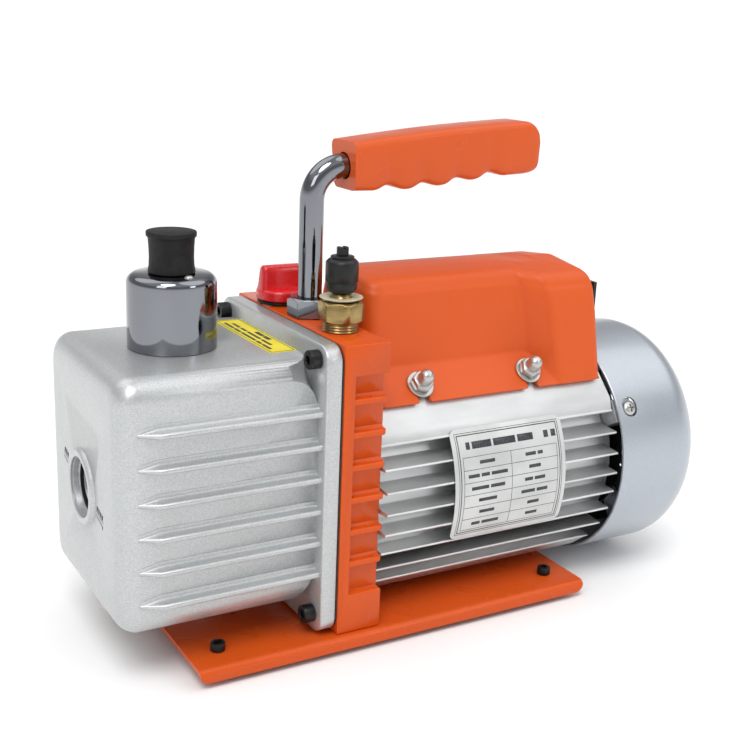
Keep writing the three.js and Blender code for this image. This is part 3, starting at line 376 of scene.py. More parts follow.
def yellowFilm():
    yellow = (0.84, 0.70, 0.02)
    made, tree, shader = newFinish("yellow_film", yellow, 0.35)
    varyShade(tree, shader, noiseOf(tree, 10, 3), yellow, 0.94, 1.04)
    varyRoughness(tree, shader, noiseOf(tree, 4, 3), 0.28, 0.42)
    return made


paint = enamelPaint()
stipple = stippledPlastic()
gripOrange = gripPlastic()
silver = fleckPaint()
coverSilver = coverPaint()
aluminium = drawnAluminium()
castMetal = castAluminium()
chrome = chromePlate()
zinc = zincPlate()
brass = turnedBrass()
oxide = blackOxide()
rubber = softRubber()
blackMoulding = blackPlastic()
red = redPlastic()
nylon = creamNylon()
glass = smokedGlass()
iron = darkIron()
steel = machinedSteel()
copper = copperWire()
gasket = gasketSheet()
whiteMoulding = whitePlastic()
plateFinish = plateMetal()
ink = printInk()
yellow = yellowFilm()
print("finishes made")


# the shape tools work in millimetres, and build() turns them into metres

def smoothMesh(mesh, angle=32):
    mesh.polygons.foreach_set("use_smooth", [True] * len(mesh.polygons))
    mesh.set_sharp_from_angle(angle=math.radians(angle))


def build(name, points, faces, finish=None, angle=32):
    mesh = bpy.data.meshes.new(name)
    mesh.from_pydata([Vector(p) * mm for p in points], [], faces)
    work = bmesh.new()
    work.from_mesh(mesh)
    bmesh.ops.remove_doubles(work, verts=work.verts, dist=1e-7)
    bmesh.ops.recalc_face_normals(work, faces=work.faces)
    work.to_mesh(mesh)
    work.free()
    smoothMesh(mesh, angle)
    if finish:
        mesh.materials.append(finish)
    piece = bpy.data.objects.new(name, mesh)
    scene.collection.objects.link(piece)
    return piece


def arc(cx, cy, r, start, end, steps=8):  # points on a round stretch, angles in degrees
    turns = [math.radians(start + (end - start) * i / steps) for i in range(steps + 1)]
    return [(cx + r * math.cos(a), cy + r * math.sin(a)) for a in turns]


def roundedRect(u0, u1, v0, v1, r, steps=8):
    return (
        arc(u1 - r, v0 + r, r, -90, 0, steps) + arc(u1 - r, v1 - r, r, 0, 90, steps)
        + arc(u0 + r, v1 - r, r, 90, 180, steps) + arc(u0 + r, v0 + r, r, 180, 270, steps)
    )


def rect(u0, u1, v0, v1):
    return [(u0, v0), (u1, v0), (u1, v1), (u0, v1)]


def hexagon(flats, turn=0):
    return [
        (flats / math.sqrt(3) * math.cos(math.radians(60 * i + turn)),
         flats / math.sqrt(3) * math.sin(math.radians(60 * i + turn)))
        for i in range(6)
    ]


def along(axis, u, v, w):  # an outline's u and v and its place w along an axis
    return {"x": (w, u, v), "y": (u, w, v), "z": (u, v, w)}[axis]


def loft(name, loops, finish=None, angle=32):  # a closed skin over loops with the same number of points
    count = len(loops[0])
    points = [p for loop in loops for p in loop]
    faces = [
        (s * count + i, s * count + (i + 1) % count, (s + 1) * count + (i + 1) % count, (s + 1) * count + i)
        for s in range(len(loops) - 1) for i in range(count)
    ]
    last = (len(loops) - 1) * count
    faces += [tuple(reversed(range(count))), tuple(range(last, last + count))]
    return build(name, points, faces, finish, angle)


def extrude(name, axis, outline, start, end, finish=None, at=(0, 0, 0), angle=32):
    loops = [
        [Vector(along(axis, u, v, w)) + Vector(at) for u, v in outline] for w in (start, end)
    ]
    return loft(name, loops, finish, angle)


def lathe(name, profile, at=(0, 0, 0), axis="z", finish=None, segments=72, angle=32):
    # profile points are (radius, place along the axis); a ring's profile ends where it starts
    ring = profile[0] == profile[-1]
    rows = profile[:-1] if ring else profile
    points, starts = [], []
    for r, h in rows:
        starts.append(len(points))
        turns = [0] if r < 1e-6 else [2 * math.pi * i / segments for i in range(segments)]
        points += [Vector(along(axis, r * math.cos(a), r * math.sin(a), h)) + Vector(at) for a in turns]
    faces = []
    steps = len(rows) if ring else len(rows) - 1
    for k in range(steps):
        n = (k + 1) % len(rows)
        a, b = starts[k], starts[n]
        onAxisA, onAxisB = rows[k][0] < 1e-6, rows[n][0] < 1e-6
        if onAxisA and onAxisB:
            continue
        for i in range(segments):
            j = (i + 1) % segments
            face = [a if onAxisA else a + i, b if onAxisB else b + i, b if onAxisB else b + j,
                    a if onAxisA else a + j]
            faces.append(tuple(dict.fromkeys(face)))
    return build(name, points, faces, finish, angle)


def softEdges(piece, width, segments=2, angle=35):
    bevel = piece.modifiers.new("soft edges", "BEVEL")
    bevel.width = width * mm
    bevel.segments = segments
    bevel.limit_method = "ANGLE"
    bevel.angle_limit = math.radians(angle)
    bevel.use_clamp_overlap = True
    bevel.harden_normals = True
    return piece


def applied(piece):  # the piece with its modifiers made real
    bpy.context.view_layer.update()
    shown = piece.evaluated_get(bpy.context.evaluated_depsgraph_get())
    made = bpy.data.meshes.new_from_object(shown)
    piece.modifiers.clear()
    piece.data = made
    return piece


def thicken(piece, thick):  # gives a flat piece a thickness, half to each side
    solid = piece.modifiers.new("thickness", "SOLIDIFY")
    solid.thickness = thick * mm
    solid.offset = 0
    return applied(piece)


def combine(piece, others, operation):
    for other in others:
        step = piece.modifiers.new(operation.lower(), "BOOLEAN")
        step.object = other
        step.operation = operation
        step.solver = "EXACT"
    applied(piece)
    for other in others:
        bpy.data.objects.remove(other)
    smoothMesh(piece.data)
    return piece


def carve(piece, *cutters):
    return combine(piece, cutters, "DIFFERENCE")


def merge(piece, *others):
    return combine(piece, others, "UNION")


def joined(name, pieces, finish=None):  # several meshes as one object, with no cutting
    work = bmesh.new()
    for piece in pieces:
        part = piece.data.copy()
        part.transform(piece.matrix_world)
        work.from_mesh(part)
    mesh = bpy.data.meshes.new(name)
    work.to_mesh(mesh)
    work.free()
    for piece in pieces:
        bpy.data.objects.remove(piece)
    smoothMesh(mesh)
    if finish:
        mesh.materials.append(finish)
    made = bpy.data.objects.new(name, mesh)
    scene.collection.objects.link(made)
    return made


def moved(piece, matrix):  # in millimetres, straight into the mesh
    scale = Matrix.Scale(mm, 4)
    piece.data.transform(scale @ matrix @ scale.inverted())
    return piece


def finished(piece, slot, body, *nodes):
    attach(piece, body)
    if nodes:
        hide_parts(*nodes)
    return piece


def crossCut(half, narrow, low, high):  # cutters for a cross recess in a screw's head
    return [extrude("cross", "z", rect(-a, a, -b, b), low, high) for a, b in ((half, narrow), (narrow, half))]


def chamferedHex(name, z0, z1, at, flats, turn, chamfer, foot, finish=None):
    corner = flats / math.sqrt(3)
    blank = extrude(name, "z", hexagon(flats, turn), z0, z1, finish, (at[0], at[1], 0))
    crown = lathe("crown", [
        (0, z0), (flats / 2 - 0.2, z0), (corner + 0.05, z0 + foot),
        (corner + 0.05, z1 - chamfer), (flats / 2 - 0.3, z1), (0, z1),
    ], (at[0], at[1], 0), segments=60)
    return combine(blank, [crown], "INTERSECT")


plateLook = {"sheet": 2.5, "bend": 3.2, "lipCorner": 4.5, "edge": 0.45}


def basePlate():
    low, high = nodeBox("base_plate")
    sheet, bend, r = plateLook["sheet"], plateLook["bend"], plateLook["lipCorner"]
    half = [(high.y, low.z)] + arc(high.y - bend, high.z - bend, bend, 0, 90, 8)
    inner = arc(high.y - bend, high.z - bend, bend - sheet, 90, 0, 6) + [(high.y - sheet, low.z)]
    outline = half + [(-y, z) for y, z in reversed(half)]
    outline += [(-y, z) for y, z in reversed(inner)] + inner
    plate = extrude("folded_plate", "x", outline, low.x, high.x, paint)
    cuts = []
    for end, way in ((low.x, 1), (high.x, -1)):  # the lips' lower corners are round
        corner = [(end - way, low.z - 1), (end + way * r, low.z - 1)]
        corner += [(end + way * (r - r * math.sin(a)), low.z + r - r * math.cos(a))
                   for a in (math.pi / 2 * k / 8 for k in range(9))] + [(end - way, low.z + r)]
        cuts.append(extrude("corner", "y", corner, low.y - 5, high.y + 5))
    carve(plate, *cuts)
    softEdges(plate, plateLook["edge"], 2, 50)
    return finished(plate, "orange_paint", "pump", "base_plate")


def socketScrew(name, node, axis, look):  # its head stands up along +Z, or out along -X
    low, high = nodeBox(node)
    centre = middleOf(node)
    radius, depth, drive = look["headRadius"], look["headDepth"], look["drive"]
    shank, buried = radius * 0.62, 3
    rim = high.z if axis == "z" else -low.x
    seat = rim - depth
    profile = [
        (0, seat - buried), (shank, seat - buried), (shank, seat), (radius - 0.2, seat), (radius, seat + 0.3),
        (radius, rim - 0.5), (radius - 0.15, rim - 0.2), (radius - 0.5, rim), (0, rim),
    ]
    head = lathe(name, profile, segments=40, finish=oxide)
    socketCut = extrude("socket", "z", hexagon(drive), rim - depth * 0.6, rim + 1)
    dishProfile = [(0, rim - 0.35), (drive * 0.577, rim - 0.35), (drive * 0.62, rim + 0.1), (0, rim + 0.1)]
    carve(head, socketCut, lathe("dish", dishProfile, segments=40))
    softEdges(head, 0.12, 1, 40)
    if axis == "z":
        moved(head, Matrix.Translation((centre.x, centre.y, 0)))
    else:
        layDown = Matrix.Rotation(math.radians(-90), 4, "Y")
        moved(head, Matrix.Translation((0, centre.y, centre.z)) @ layDown)
    return finished(head, "black_oxide_steel", "pump", node)


feetLook = {"hole": 2.4, "wall": 1.5, "bolt": {"headRadius": 3.5, "headDepth": 4, "drive": 3}}


def feet():
    hole = feetLook["hole"]
    for i in range(1, 5):
        low, high = nodeBox(f"rubber_foot_{i}")
        centre = (low + high) / 2
        radius = (high.x - low.x) / 2
        sole = radius - feetLook["wall"]
        profile = [
            (hole, high.z), (hole, 0.6), (hole + 0.8, low.z), (sole - 0.9, low.z), (sole - 0.3, low.z + 0.2),
            (sole, low.z + 0.8), (radius - 0.3, high.z - 1.6), (radius, high.z - 1.2), (radius, high.z),
            (hole, high.z),
        ]
        foot = lathe(f"foot_{i}", profile, (centre.x, centre.y, 0), finish=rubber, segments=48)
        finished(foot, "black_rubber", "pump", f"rubber_foot_{i}")
        socketScrew(f"foot_bolt_{i}", f"foot_screw_{i}", "z", feetLook["bolt"])


basePlate()
feet()
print("base plate and feet made")


tankLook = {
    "ringProud": 2.0,  # how far the sight glass's ring stands out of the front
    "halfWidth": 51.4,
    "bottom": 25.5,
    "top": 143.6,
    "frontRound": 10,
    "cornerRound": 10.5,
    "flangeThick": 7.9,
    "flangeCorner": 8,
    "ribs": 6,
    "firstRib": 120.3,
    "ribPitch": 15.76,
    "ribReach": 57.0,
    "ribHalf": 1.8,
    "ribFillet": 1.1,
    "seam": 0.3,
    "ribTip": 8.7,  # where a rib starts, behind the tank's front
    "ribRise": 9.0,  # how long it takes to reach its full height
    "glassZ": 81.0,
    "glassHole": 14.4,
    "scoopOut": 6.0,
    # each scoop's flare: (ahead of the flange, radius)
    "scoop": ((13, 10.5), (8, 11.5), (5, 13.5), (2.8, 16), (1.2, 19.5), (0, 24)),
    "bolt": {"headRadius": 4.4, "headDepth": 5.5, "drive": 4},
}


def tankRib(side, z, front, back):
    half, reach, fillet = tankLook["ribHalf"], tankLook["ribReach"], tankLook["ribFillet"]
    root = tankLook["halfWidth"]
    start = front + tankLook["ribTip"]
    full = start + tankLook["ribRise"]
    loops = []
    stations = [start + (full - start) * i / 6 for i in range(7)]
    stations += [full + (back - full) * i / 4 for i in range(1, 5)]
    for x in stations:
        rise = min(1.0, max(0.03, (x - start) / (full - start)))
        tall = (reach - root) * rise
        wide = half * (0.35 + 0.65 * rise)
        flare = fillet * (0.3 + 0.7 * rise)
        crown = min(wide * 0.9, tall * 0.5)
        lower = [(-0.6, -wide - flare), (0.0, -wide - flare), (flare * 0.3 * rise, -wide - flare * 0.35)]
        lower.append((min(flare, tall * 0.4), -wide))
        crest = [(tall - crown + crown * math.sin(a), -wide * 0.82 * math.cos(a))
                 for a in (math.radians(t) for t in (0, 30, 60))]
        seam = min(tankLook["seam"], tall * 0.2)  # the casting's joint line runs just above each rib
        upper = [(-0.6, wide + flare + 1.4), (seam, wide + flare + 1.3), (seam * 1.3, wide + flare * 0.9)]
        upper.append((min(flare, tall * 0.4), wide))
        profile = lower + crest + [(tall, 0)] + [(d, -w) for d, w in reversed(crest)] + upper[::-1]
        loops.append([(x, side * (root + d), z + w) for d, w in profile])
    return loft("tank_rib", loops)


def oilTank():
    low, high = nodeBox("oil_tank")
    front = low.x + tankLook["ringProud"]
    flangeFront = high.x - tankLook["flangeThick"]
    r = tankLook["frontRound"]
    loops = []
    for i in range(11):
        a = math.pi / 2 * i / 10
        inset = r * (1 - math.sin(a))
        corner = tankLook["cornerRound"] - inset * 0.6
        half = tankLook["halfWidth"] - inset
        outline = roundedRect(-half, half, tankLook["bottom"] + inset, tankLook["top"] - inset, corner, 10)
        loops.append([(front + r * (1 - math.cos(a)), y, z) for y, z in outline])
    loops.append([(flangeFront + 2, y, z) for _, y, z in loops[-1]])
    tank = loft("tank_casting", loops, silver, 40)
    flangeOutline = roundedRect(low.y, high.y, low.z, high.z, tankLook["flangeCorner"], 10)
    flange = extrude("flange", "x", flangeOutline, flangeFront, high.x)
    softEdges(flange, 0.9, 3)
    applied(flange)
    radius = tankLook["glassHole"]
    hole = [(0, front - 3), (radius, front - 3), (radius, front + 9), (0, front + 9)]
    cuts = [lathe("sight hole", hole, (0, 0, tankLook["glassZ"]), "x", segments=64)]
    for i in range(1, 5):  # a flared scoop in each corner leaves room for a screw's head
        centre = middleOf(f"tank_screw_{i}")
        y = centre.y + math.copysign(tankLook["scoopOut"], centre.y)
        flare = [(radius, flangeFront - ahead) for ahead, radius in tankLook["scoop"]]
        flare = [(0, flare[0][1])] + flare + [(flare[-1][0], flangeFront + 0.01), (0, flangeFront + 0.01)]
        cuts.append(lathe("scoop", flare, (0, y, centre.z), "x", segments=64))
    carve(tank, *cuts)
    softEdges(tank, 0.6, 2, 40)
    applied(tank)
    ribs = [
        tankRib(side, tankLook["firstRib"] - i * tankLook["ribPitch"], front, flangeFront + 1)
        for side in (-1, 1) for i in range(tankLook["ribs"])
    ]
    tank = joined("tank_casting", [tank, flange, *ribs], silver)
    return finished(tank, "silver_paint", "pump", "oil_tank")


sightLook = {"outer": 18.6, "bore": 14.2, "bezelBore": 12.9, "paneRadius": 12.3}


def sightGlass():
    low = nodeBox("oil_tank")[0]
    front = low.x + tankLook["ringProud"]
    at = (0, 0, tankLook["glassZ"])
    outer, bore, bezelBore, pane = (sightLook[k] for k in ("outer", "bore", "bezelBore", "paneRadius"))
    ringProfile = [
        (bore, front + 6), (bore, low.x + 0.5), (bore + 0.5, low.x + 0.1), (bore + 1.2, low.x),
        (outer - 1.6, low.x + 0.1), (outer - 1.0, low.x + 0.6), (outer - 0.6, low.x + 1.4),
        (outer, front + 0.2), (outer, front + 1), (bore, front + 6),
    ]
    ring = lathe("sight_ring", ringProfile, at, "x", silver, 96)
    finished(ring, "silver_paint", "pump")
    rim = bore - 0.05
    bezelProfile = [
        (rim, front - 0.2), (rim - 0.25, front - 0.5), (rim - 0.45, front - 0.3), (rim - 0.75, front + 2.2),
        (bezelBore, front + 2.6), (bezelBore, front + 5.4), (rim, front + 5.4), (rim, front - 0.2),
    ]
    bezel = lathe("sight_bezel", bezelProfile, at, "x", castMetal, 96)
    finished(bezel, "zinc_steel", "pump")
    sealProfile = [
        (bezelBore, front + 2.7), (pane + 0.2, front + 2.6), (pane, front + 2.9), (pane, front + 4.4),
        (bezelBore, front + 4.4), (bezelBore, front + 2.7),
    ]
    seal = lathe("sight_seal", sealProfile, at, "x", rubber, 96)
    finished(seal, "black_rubber", "pump")
    paneProfile = [
        (0, front + 2.6), (6, front + 2.75), (10, front + 3.2), (pane, front + 3.9), (pane, front + 6.2),
        (0, front + 6.2),
    ]
    paneGlass = lathe("sight_pane", paneProfile, at, "x", glass, 96)
    finished(paneGlass, "sight_glass", "pump", "sight_glass")


def inkMarks(name, marks, place, lift=0.06):
    # flat printed marks: each is (u0, u1, v0, v1), set on a surface by place(u, v, lift)
    points, faces = [], []
    for u0, u1, v0, v1 in marks:
        steps = max(1, round(abs(v1 - v0) / 2))
        first = len(points)
        for k in range(steps + 1):
            v = v0 + (v1 - v0) * k / steps
            points += [place(u0, v, lift), place(u1, v, lift)]
        corners = [first + 2 * k for k in range(steps)]
        faces += [(c, c + 1, c + 3, c + 2) for c in corners]
    printed = build(name, points, faces, ink)
    thicken(printed, 0.04)
    return finished(printed, "black_plastic", "pump")


def greeked(u0, u1, v, tall, words):  # one line of stand-in print, broken into word-long bars
    gap = 0.7  # between words, in letters
    unit = (u1 - u0) / (sum(words) + (len(words) - 1) * gap)
    marks, u = [], u0
    for word in words:
        marks.append((u, u + word * unit, v - tall / 2, v + tall / 2))
        u += (word + gap) * unit
    return marks


# each oil level mark: which side of the glass, how far above its middle, and how many letters it stands for
levelLook = {"tilt": 15, "out": 24.2, "marks": {"upper": (1, 4.6, 3), "lower": (-1, -7.6, 4)}}


def levelMarks():  # upper and lower oil marks beside the glass, tilted with it
    front = nodeBox("oil_tank")[0].x + tankLook["ringProud"]
    tilt = math.radians(levelLook["tilt"])
    for name, (side, lift, letters) in levelLook["marks"].items():
        centre = Vector((levelLook["out"] * side, tankLook["glassZ"] + lift))
        marks = [(-5, 5, -0.2, 0.2), (4.2, 5, -1.6, -0.2), (-5, 5, 2.0, 2.25)]
        marks += [(-4.4 + 2.3 * k, -2.8 + 2.3 * k, 2.9, 5.2) for k in range(letters)]

        def place(u, v, rise, centre=centre):
            y = centre.x - u * math.cos(tilt) - v * math.sin(tilt)
            z = centre.y - u * math.sin(tilt) + v * math.cos(tilt)
            return (front - rise, y, z)

        inkMarks(f"level_mark_{name}", marks, place)


oilTank()
sightGlass()
levelMarks()
for i in range(1, 5):
    socketScrew(f"tank_bolt_{i}", f"tank_screw_{i}", "x", tankLook["bolt"])
print("oil tank made")


labelLook = {
    "x": (-83.3, -69.6), "y": (-29.5, 36), "thick": 0.12, "corner": 1.2,
    "frameInset": 0.9, "frameLine": 0.35,
}
# the label's lines of stand-in print: how far down, how tall, where they start and end, and word lengths
labelRows = [
    (0.26, 2.2, 0.42, 0.66, [5, 4]),
    (0.52, 1.5, 0.12, 0.8, [4, 3, 7, 5]),
    (0.76, 1.5, 0.08, 0.9, [6, 4, 9, 3, 5]),
]


def borderMarks(u0, u1, v0, v1, line):  # the four sides of a printed frame
    across = [(u0, u1, v0, v0 + line), (u0, u1, v1 - line, v1)]
    return across + [(u0, u0 + line, v0, v1), (u1 - line, u1, v0, v1)]


def cautionLabel():
    top = tankLook["top"]
    (x0, x1), (y0, y1) = labelLook["x"], labelLook["y"]
    outline = roundedRect(x0, x1, y0, y1, labelLook["corner"], 4)
    film = extrude("caution_label", "z", outline, top - 0.02, top + labelLook["thick"], yellow)
    finished(film, "capacitor_plastic", "pump")
    inset = labelLook["frameInset"]
    marks = borderMarks(x0 + inset, x1 - inset, y0 + inset, y1 - inset, labelLook["frameLine"])
    wide, deep = y1 - y0, x1 - x0
    for down, tall, start, end, words in labelRows:
        x = x1 - deep * down
        for v0, v1, _, _ in greeked(y1 - wide * start, y1 - wide * end, 0, tall, words):
            marks.append((x - tall / 2, x + tall / 2, v1, v0))
    inkMarks("caution_print", marks, lambda u, v, lift: (u, v, top + labelLook["thick"] + lift))


cautionLabel()


exhaustLook = {
    "shoulderRise": 1.6,
    "wall": 1.6,
    "corner": 4.4,
    "neck": 8.8,
    "capWaist": 10.15,
    "capRim": 11.45,
    "screwAt": (2.6, -14.4),
}


def exhaustStack():
    low, high = nodeBox("exhaust_housing")
    centre = middleOf("exhaust_housing")
    at = (centre.x, centre.y, 0)
    radius = (high.x - low.x) / 2
    capLow, capHigh = nodeBox("exhaust_cap")
    shoulder = capLow.z + exhaustLook["shoulderRise"]
    wall, corner, neck = (exhaustLook[k] for k in ("wall", "corner", "neck"))
    profile = [(radius - wall, low.z), (radius, low.z)]
    profile += arc(radius - corner, shoulder - corner, corner, 0, 78, 9)
    profile += [
        (12.4, shoulder - 0.05), (12.0, shoulder), (neck, shoulder), (neck, high.z - 0.6),
        (neck - 0.5, high.z), (neck - wall, high.z), (neck - wall, shoulder - wall),
        (radius - wall, shoulder - wall - 2),
        (radius - wall, low.z),
    ]
    housing = lathe("exhaust_stack", profile, at, finish=chrome, segments=128)
    finished(housing, "chrome", "pump", "exhaust_housing")

    foot, top = shoulder + 0.3, capHigh.z
    bore, waist, rim = neck + 0.3, exhaustLook["capWaist"], exhaustLook["capRim"]
    cap = [
        (bore, foot), (waist + 0.25, foot), (waist + 0.6, foot + 0.3), (waist + 0.55, foot + 1.2),
        (waist + 0.15, foot + 3.2), (waist, foot + 7), (waist + 0.15, foot + 12), (waist + 0.45, top - 3.2),
        (waist + 0.65, top - 2.7), (rim - 0.15, top - 2.3), (rim, top - 1.9), (rim, top - 0.5),
        (rim - 0.25, top - 0.1), (rim - 0.55, top), (0, top - 0.05), (0, top - 3.2), (bore, top - 3.2),
        (bore, foot),
    ]
    stopper = lathe("exhaust_stopper", cap, at, finish=rubber, segments=96, angle=50)
    finished(stopper, "black_rubber", "exhaust_cap", "exhaust_cap")

    screwX, screwY = exhaustLook["screwAt"]
    screwProfile = [(0, 0), (2.1, 0), (2.1, 0.4), (1.8, 1.0), (1.1, 1.5), (0, 1.6)]
    screw = lathe("stack_screw", screwProfile, finish=zinc, segments=32)
    carve(screw, *crossCut(1.3, 0.25, 0.9, 2))
    moved(screw, Matrix.Translation((centre.x + screwX, centre.y + screwY, shoulder - 0.35)))
    finished(screw, "zinc_steel", "pump")


exhaustStack()
print("exhaust made")


blockLook = {
    "pocketFront": 5.8,  # how far behind the block's front the side pockets start
    "floor": 54.4,
    "pocketBottom": 29.2,
    "pocketTop": 137.0,
    "ribs": 6,
    "firstRib": 44.7,
    "ribPitch": 16.0,
    "ribThick": 3.0,
    "ribReach": 58.8,
    "ribRound": 2.2,
}


def pumpBlock():
    low, high = nodeBox("pump_body")
    look = blockLook
    block = extrude("pump_block", "z", rect(low.x, high.x, low.y, high.y), low.z, high.z, paint)
    pockets = [
        extrude("pocket", "z",
                rect(low.x + look["pocketFront"], high.x + 5, *sorted((side * look["floor"], side * 70))),
                look["pocketBottom"], look["pocketTop"])
        for side in (-1, 1)
    ]
    carve(block, *pockets)
    softEdges(block, 0.55, 3)
    applied(block)
    ribs = []
    x0 = low.x + look["pocketFront"] - 0.6
    reach, r = look["ribReach"], look["ribRound"]
    for side in (-1, 1):
        for i in range(look["ribs"]):
            z = look["firstRib"] + i * look["ribPitch"]
            outline = [(x0, look["floor"] - 1), (x0, reach)]
            outline += arc(high.x - r, reach - r, r, 90, 0, 8) + [(high.x, look["floor"] - 1)]
            outline = [(x, side * y) for x, y in outline]
            rib = extrude("block_rib", "z", outline, z - look["ribThick"] / 2, z + look["ribThick"] / 2)
            softEdges(rib, 0.7, 3)
            ribs.append(applied(rib))
            # the casting's fillet at the rib's root
            upperHalf = [(1.3, 1.45), (0.35, 2.0), (0.05, 2.9), (-0.3, 3.0)]
            section = [(rise, -w) for rise, w in reversed(upperHalf)] + upperHalf
            fillet = [
                [(x, side * (look["floor"] + rise), z + w) for rise, w in section] for x in (x0, high.x - 0.4)
            ]
            ribs.append(loft("rib_fillet", fillet, None, 60))
    block = joined("pump_block", [block, *ribs], paint)
    return finished(block, "orange_paint", "pump", "pump_body")


pumpBlock()
print("pump block made")


handleLook = {
    "radius": 5.9,
    "bend": 16.0,
    "bendTop": 224.0,
    "tilt": 3.4,
    "tail": 94.0,  # how far the bar runs inside the grip
    "nut": {"flats": 19, "turn": 31, "chamfer": 1.7, "foot": 0.4},
    "gripHalf": 12.2,
    "gripLength": 108.5,
    "gripCorner": 3.6,
    "gripHole": 6.5,
    "grooves": 4,
    "firstGroove": 10,
    "groovePitch": 19.8,
    "grooveDepth": 2.3,
    "gripEnd": 9,  # how far the round end reaches
}


def barRing(centre, turn, radius):  # a ring of points round the bar, turned from upright
    return [
        (centre.x + radius * math.cos(a) * math.cos(turn), radius * math.sin(a),
         centre.z - radius * math.cos(a) * math.sin(turn))
        for a in (2 * math.pi * k / 48 for k in range(48))
    ]


def gripSection(s):  # the grip's outline as (y, height over the bar), at a distance s along it
    look = handleLook
    length, r = look["gripLength"], look["gripCorner"]
    t = s / length
    g = (s - look["firstGroove"]) / look["groovePitch"]
    wave = 0.5 - 0.5 * math.cos(2 * math.pi * g)
    groove = look["grooveDepth"] * wave ** 1.3 if 0 < g < look["grooves"] else 0
    nearEnd = max(0, (s - (length - look["gripEnd"])) / look["gripEnd"])
    endRound = look["gripEnd"] * (1 - math.sqrt(max(0, 1 - nearEnd ** 2)))
    top = 12 + 3.2 * t + 1.1 * math.sin(math.pi * t) - endRound * 0.85
    belly = 0.8 + 1.9 * math.sin(math.pi * min(1, s / 75))
    bottom = -10.4 - 0.2 * t - belly + groove + endRound * 0.3
    half = look["gripHalf"] - endRound * 0.12
    lowHalf = half - 1.2 - groove * 0.5
    return (
        arc(lowHalf - r, bottom + r, r, -90, -4, 6) + arc(half - r, top - r, r, 4, 90, 6)
        + arc(r - half, top - r, r, 90, 176, 6) + arc(r - lowHalf, bottom + r, r, 184, 270, 6)
    )


def handle():
    look = handleLook
    radius, bend = look["radius"], look["bend"]
    low = nodeBox("handle_rod")[0]
    footX = low.x + radius
    tilt = math.radians(look["tilt"])
    turnEnd = math.pi / 2 - tilt
    bendZ = look["bendTop"] - bend
    loops = [barRing(Vector((footX, 0, low.z)), 0, radius)]
    for i in range(25):
        a = turnEnd * i / 24
        corner = Vector((footX + bend * (1 - math.cos(a)), 0, bendZ + bend * math.sin(a)))
        loops.append(barRing(corner, a, radius))
    way = Vector((math.cos(tilt), 0, math.sin(tilt)))
    loops.append(barRing(corner + way * look["tail"], turnEnd, radius))
    rod = loft("handle_bar", loops, chrome, 50)
    finished(rod, "chrome", "pump", "handle_rod")

    nutLow, nutHigh = nodeBox("handle_nut")
    nut = chamferedHex("bar_nut", nutLow.z, nutHigh.z, (footX, 0), finish=chrome, **look["nut"])
    softEdges(nut, 0.25, 2, 25)
    finished(nut, "chrome", "pump", "handle_nut")

    gripX = nodeBox("handle_grip")[0].x + 0.75
    origin = Vector((gripX, 0, corner.z + (gripX - corner.x) * math.tan(tilt)))
    up = Vector((-math.sin(tilt), 0, math.cos(tilt)))
    stations = 150
    gripLoops = []
    for k in range(stations + 1):
        s = look["gripLength"] * k / stations
        gripLoops.append([origin + way * s + up * z + Vector((0, y, 0)) for y, z in gripSection(s)])
    grip = loft("grip_moulding", gripLoops, gripOrange, 40)
    hole = loft("hole", [barRing(origin + way * s, turnEnd, look["gripHole"]) for s in (-2, 9)])
    carve(grip, hole)
    softEdges(grip, 1.1, 4, 50)
    finished(grip, "orange_plastic", "pump", "handle_grip")


handle()
print("handle made")


inletLook = {
    "hex": {"flats": 19, "turn": 24.6, "chamfer": 1.6, "foot": 1.0},
    "hexFoot": 157.0,
    "hexTop": 166.3,
    "threadRoot": 8.0,
    "threadCrest": 8.65,
    "threadPitch": 1.25,
    "flareTop": 174.8,
    "capRadius": 7.7,
}


def inletThread(start, end):  # fine thread, each turn a ridge
    root, crest = inletLook["threadRoot"], inletLook["threadCrest"]
    profile = [(0, start - 6.1), (root, start - 6.1)]
    z = start
    while z < end - 0.6:
        profile += [(root, z), (crest, z + 0.45), (crest, z + 0.65), (root, z + 1.1)]
        z += inletLook["threadPitch"]
    return profile + [(root, end), (0, end)]


def inletFitting():
    high = nodeBox("inlet_fitting")[1]
    centre = middleOf("inlet_fitting")
    at = (centre.x, centre.y, 0)
    blockTop = nodeBox("pump_body")[1].z
    hexFoot, hexTop, flareTop = (inletLook[k] for k in ("hexFoot", "hexTop", "flareTop"))
    stem = lathe("inlet_thread", inletThread(blockTop + 0.1, hexFoot), at, finish=brass, segments=72)
    hexPart = chamferedHex("inlet_hex", hexFoot - 0.2, hexTop, at, **inletLook["hex"])
    softEdges(hexPart, 0.3, 2, 25)
    applied(hexPart)
    neckProfile = [
        (0, hexTop - 1), (5.6, hexTop - 1), (5.6, hexTop + 0.5), (4.9, hexTop + 0.8), (4.9, flareTop - 0.8),
        (4.1, flareTop), (4.1, high.z), (2.6, high.z), (2.6, hexTop), (0, hexTop),
    ]
    neck = lathe("inlet_neck", neckProfile, at, segments=56)
    fitting = joined("inlet_union", [stem, hexPart, neck], brass)
    finished(fitting, "brass", "pump", "inlet_fitting")

    low, high = nodeBox("inlet_washer")
    washerProfile = [
        (5.3, low.z), (7.4, low.z), (9.4, low.z + 0.9), (10.2, high.z - 0.25), (10.05, high.z),
        (8.2, high.z - 0.25), (5.3, high.z - 0.25), (5.3, low.z),
    ]
    washer = lathe("inlet_seal", washerProfile, at, finish=nylon, segments=72, angle=50)
    finished(washer, "nylon", "pump", "inlet_washer")


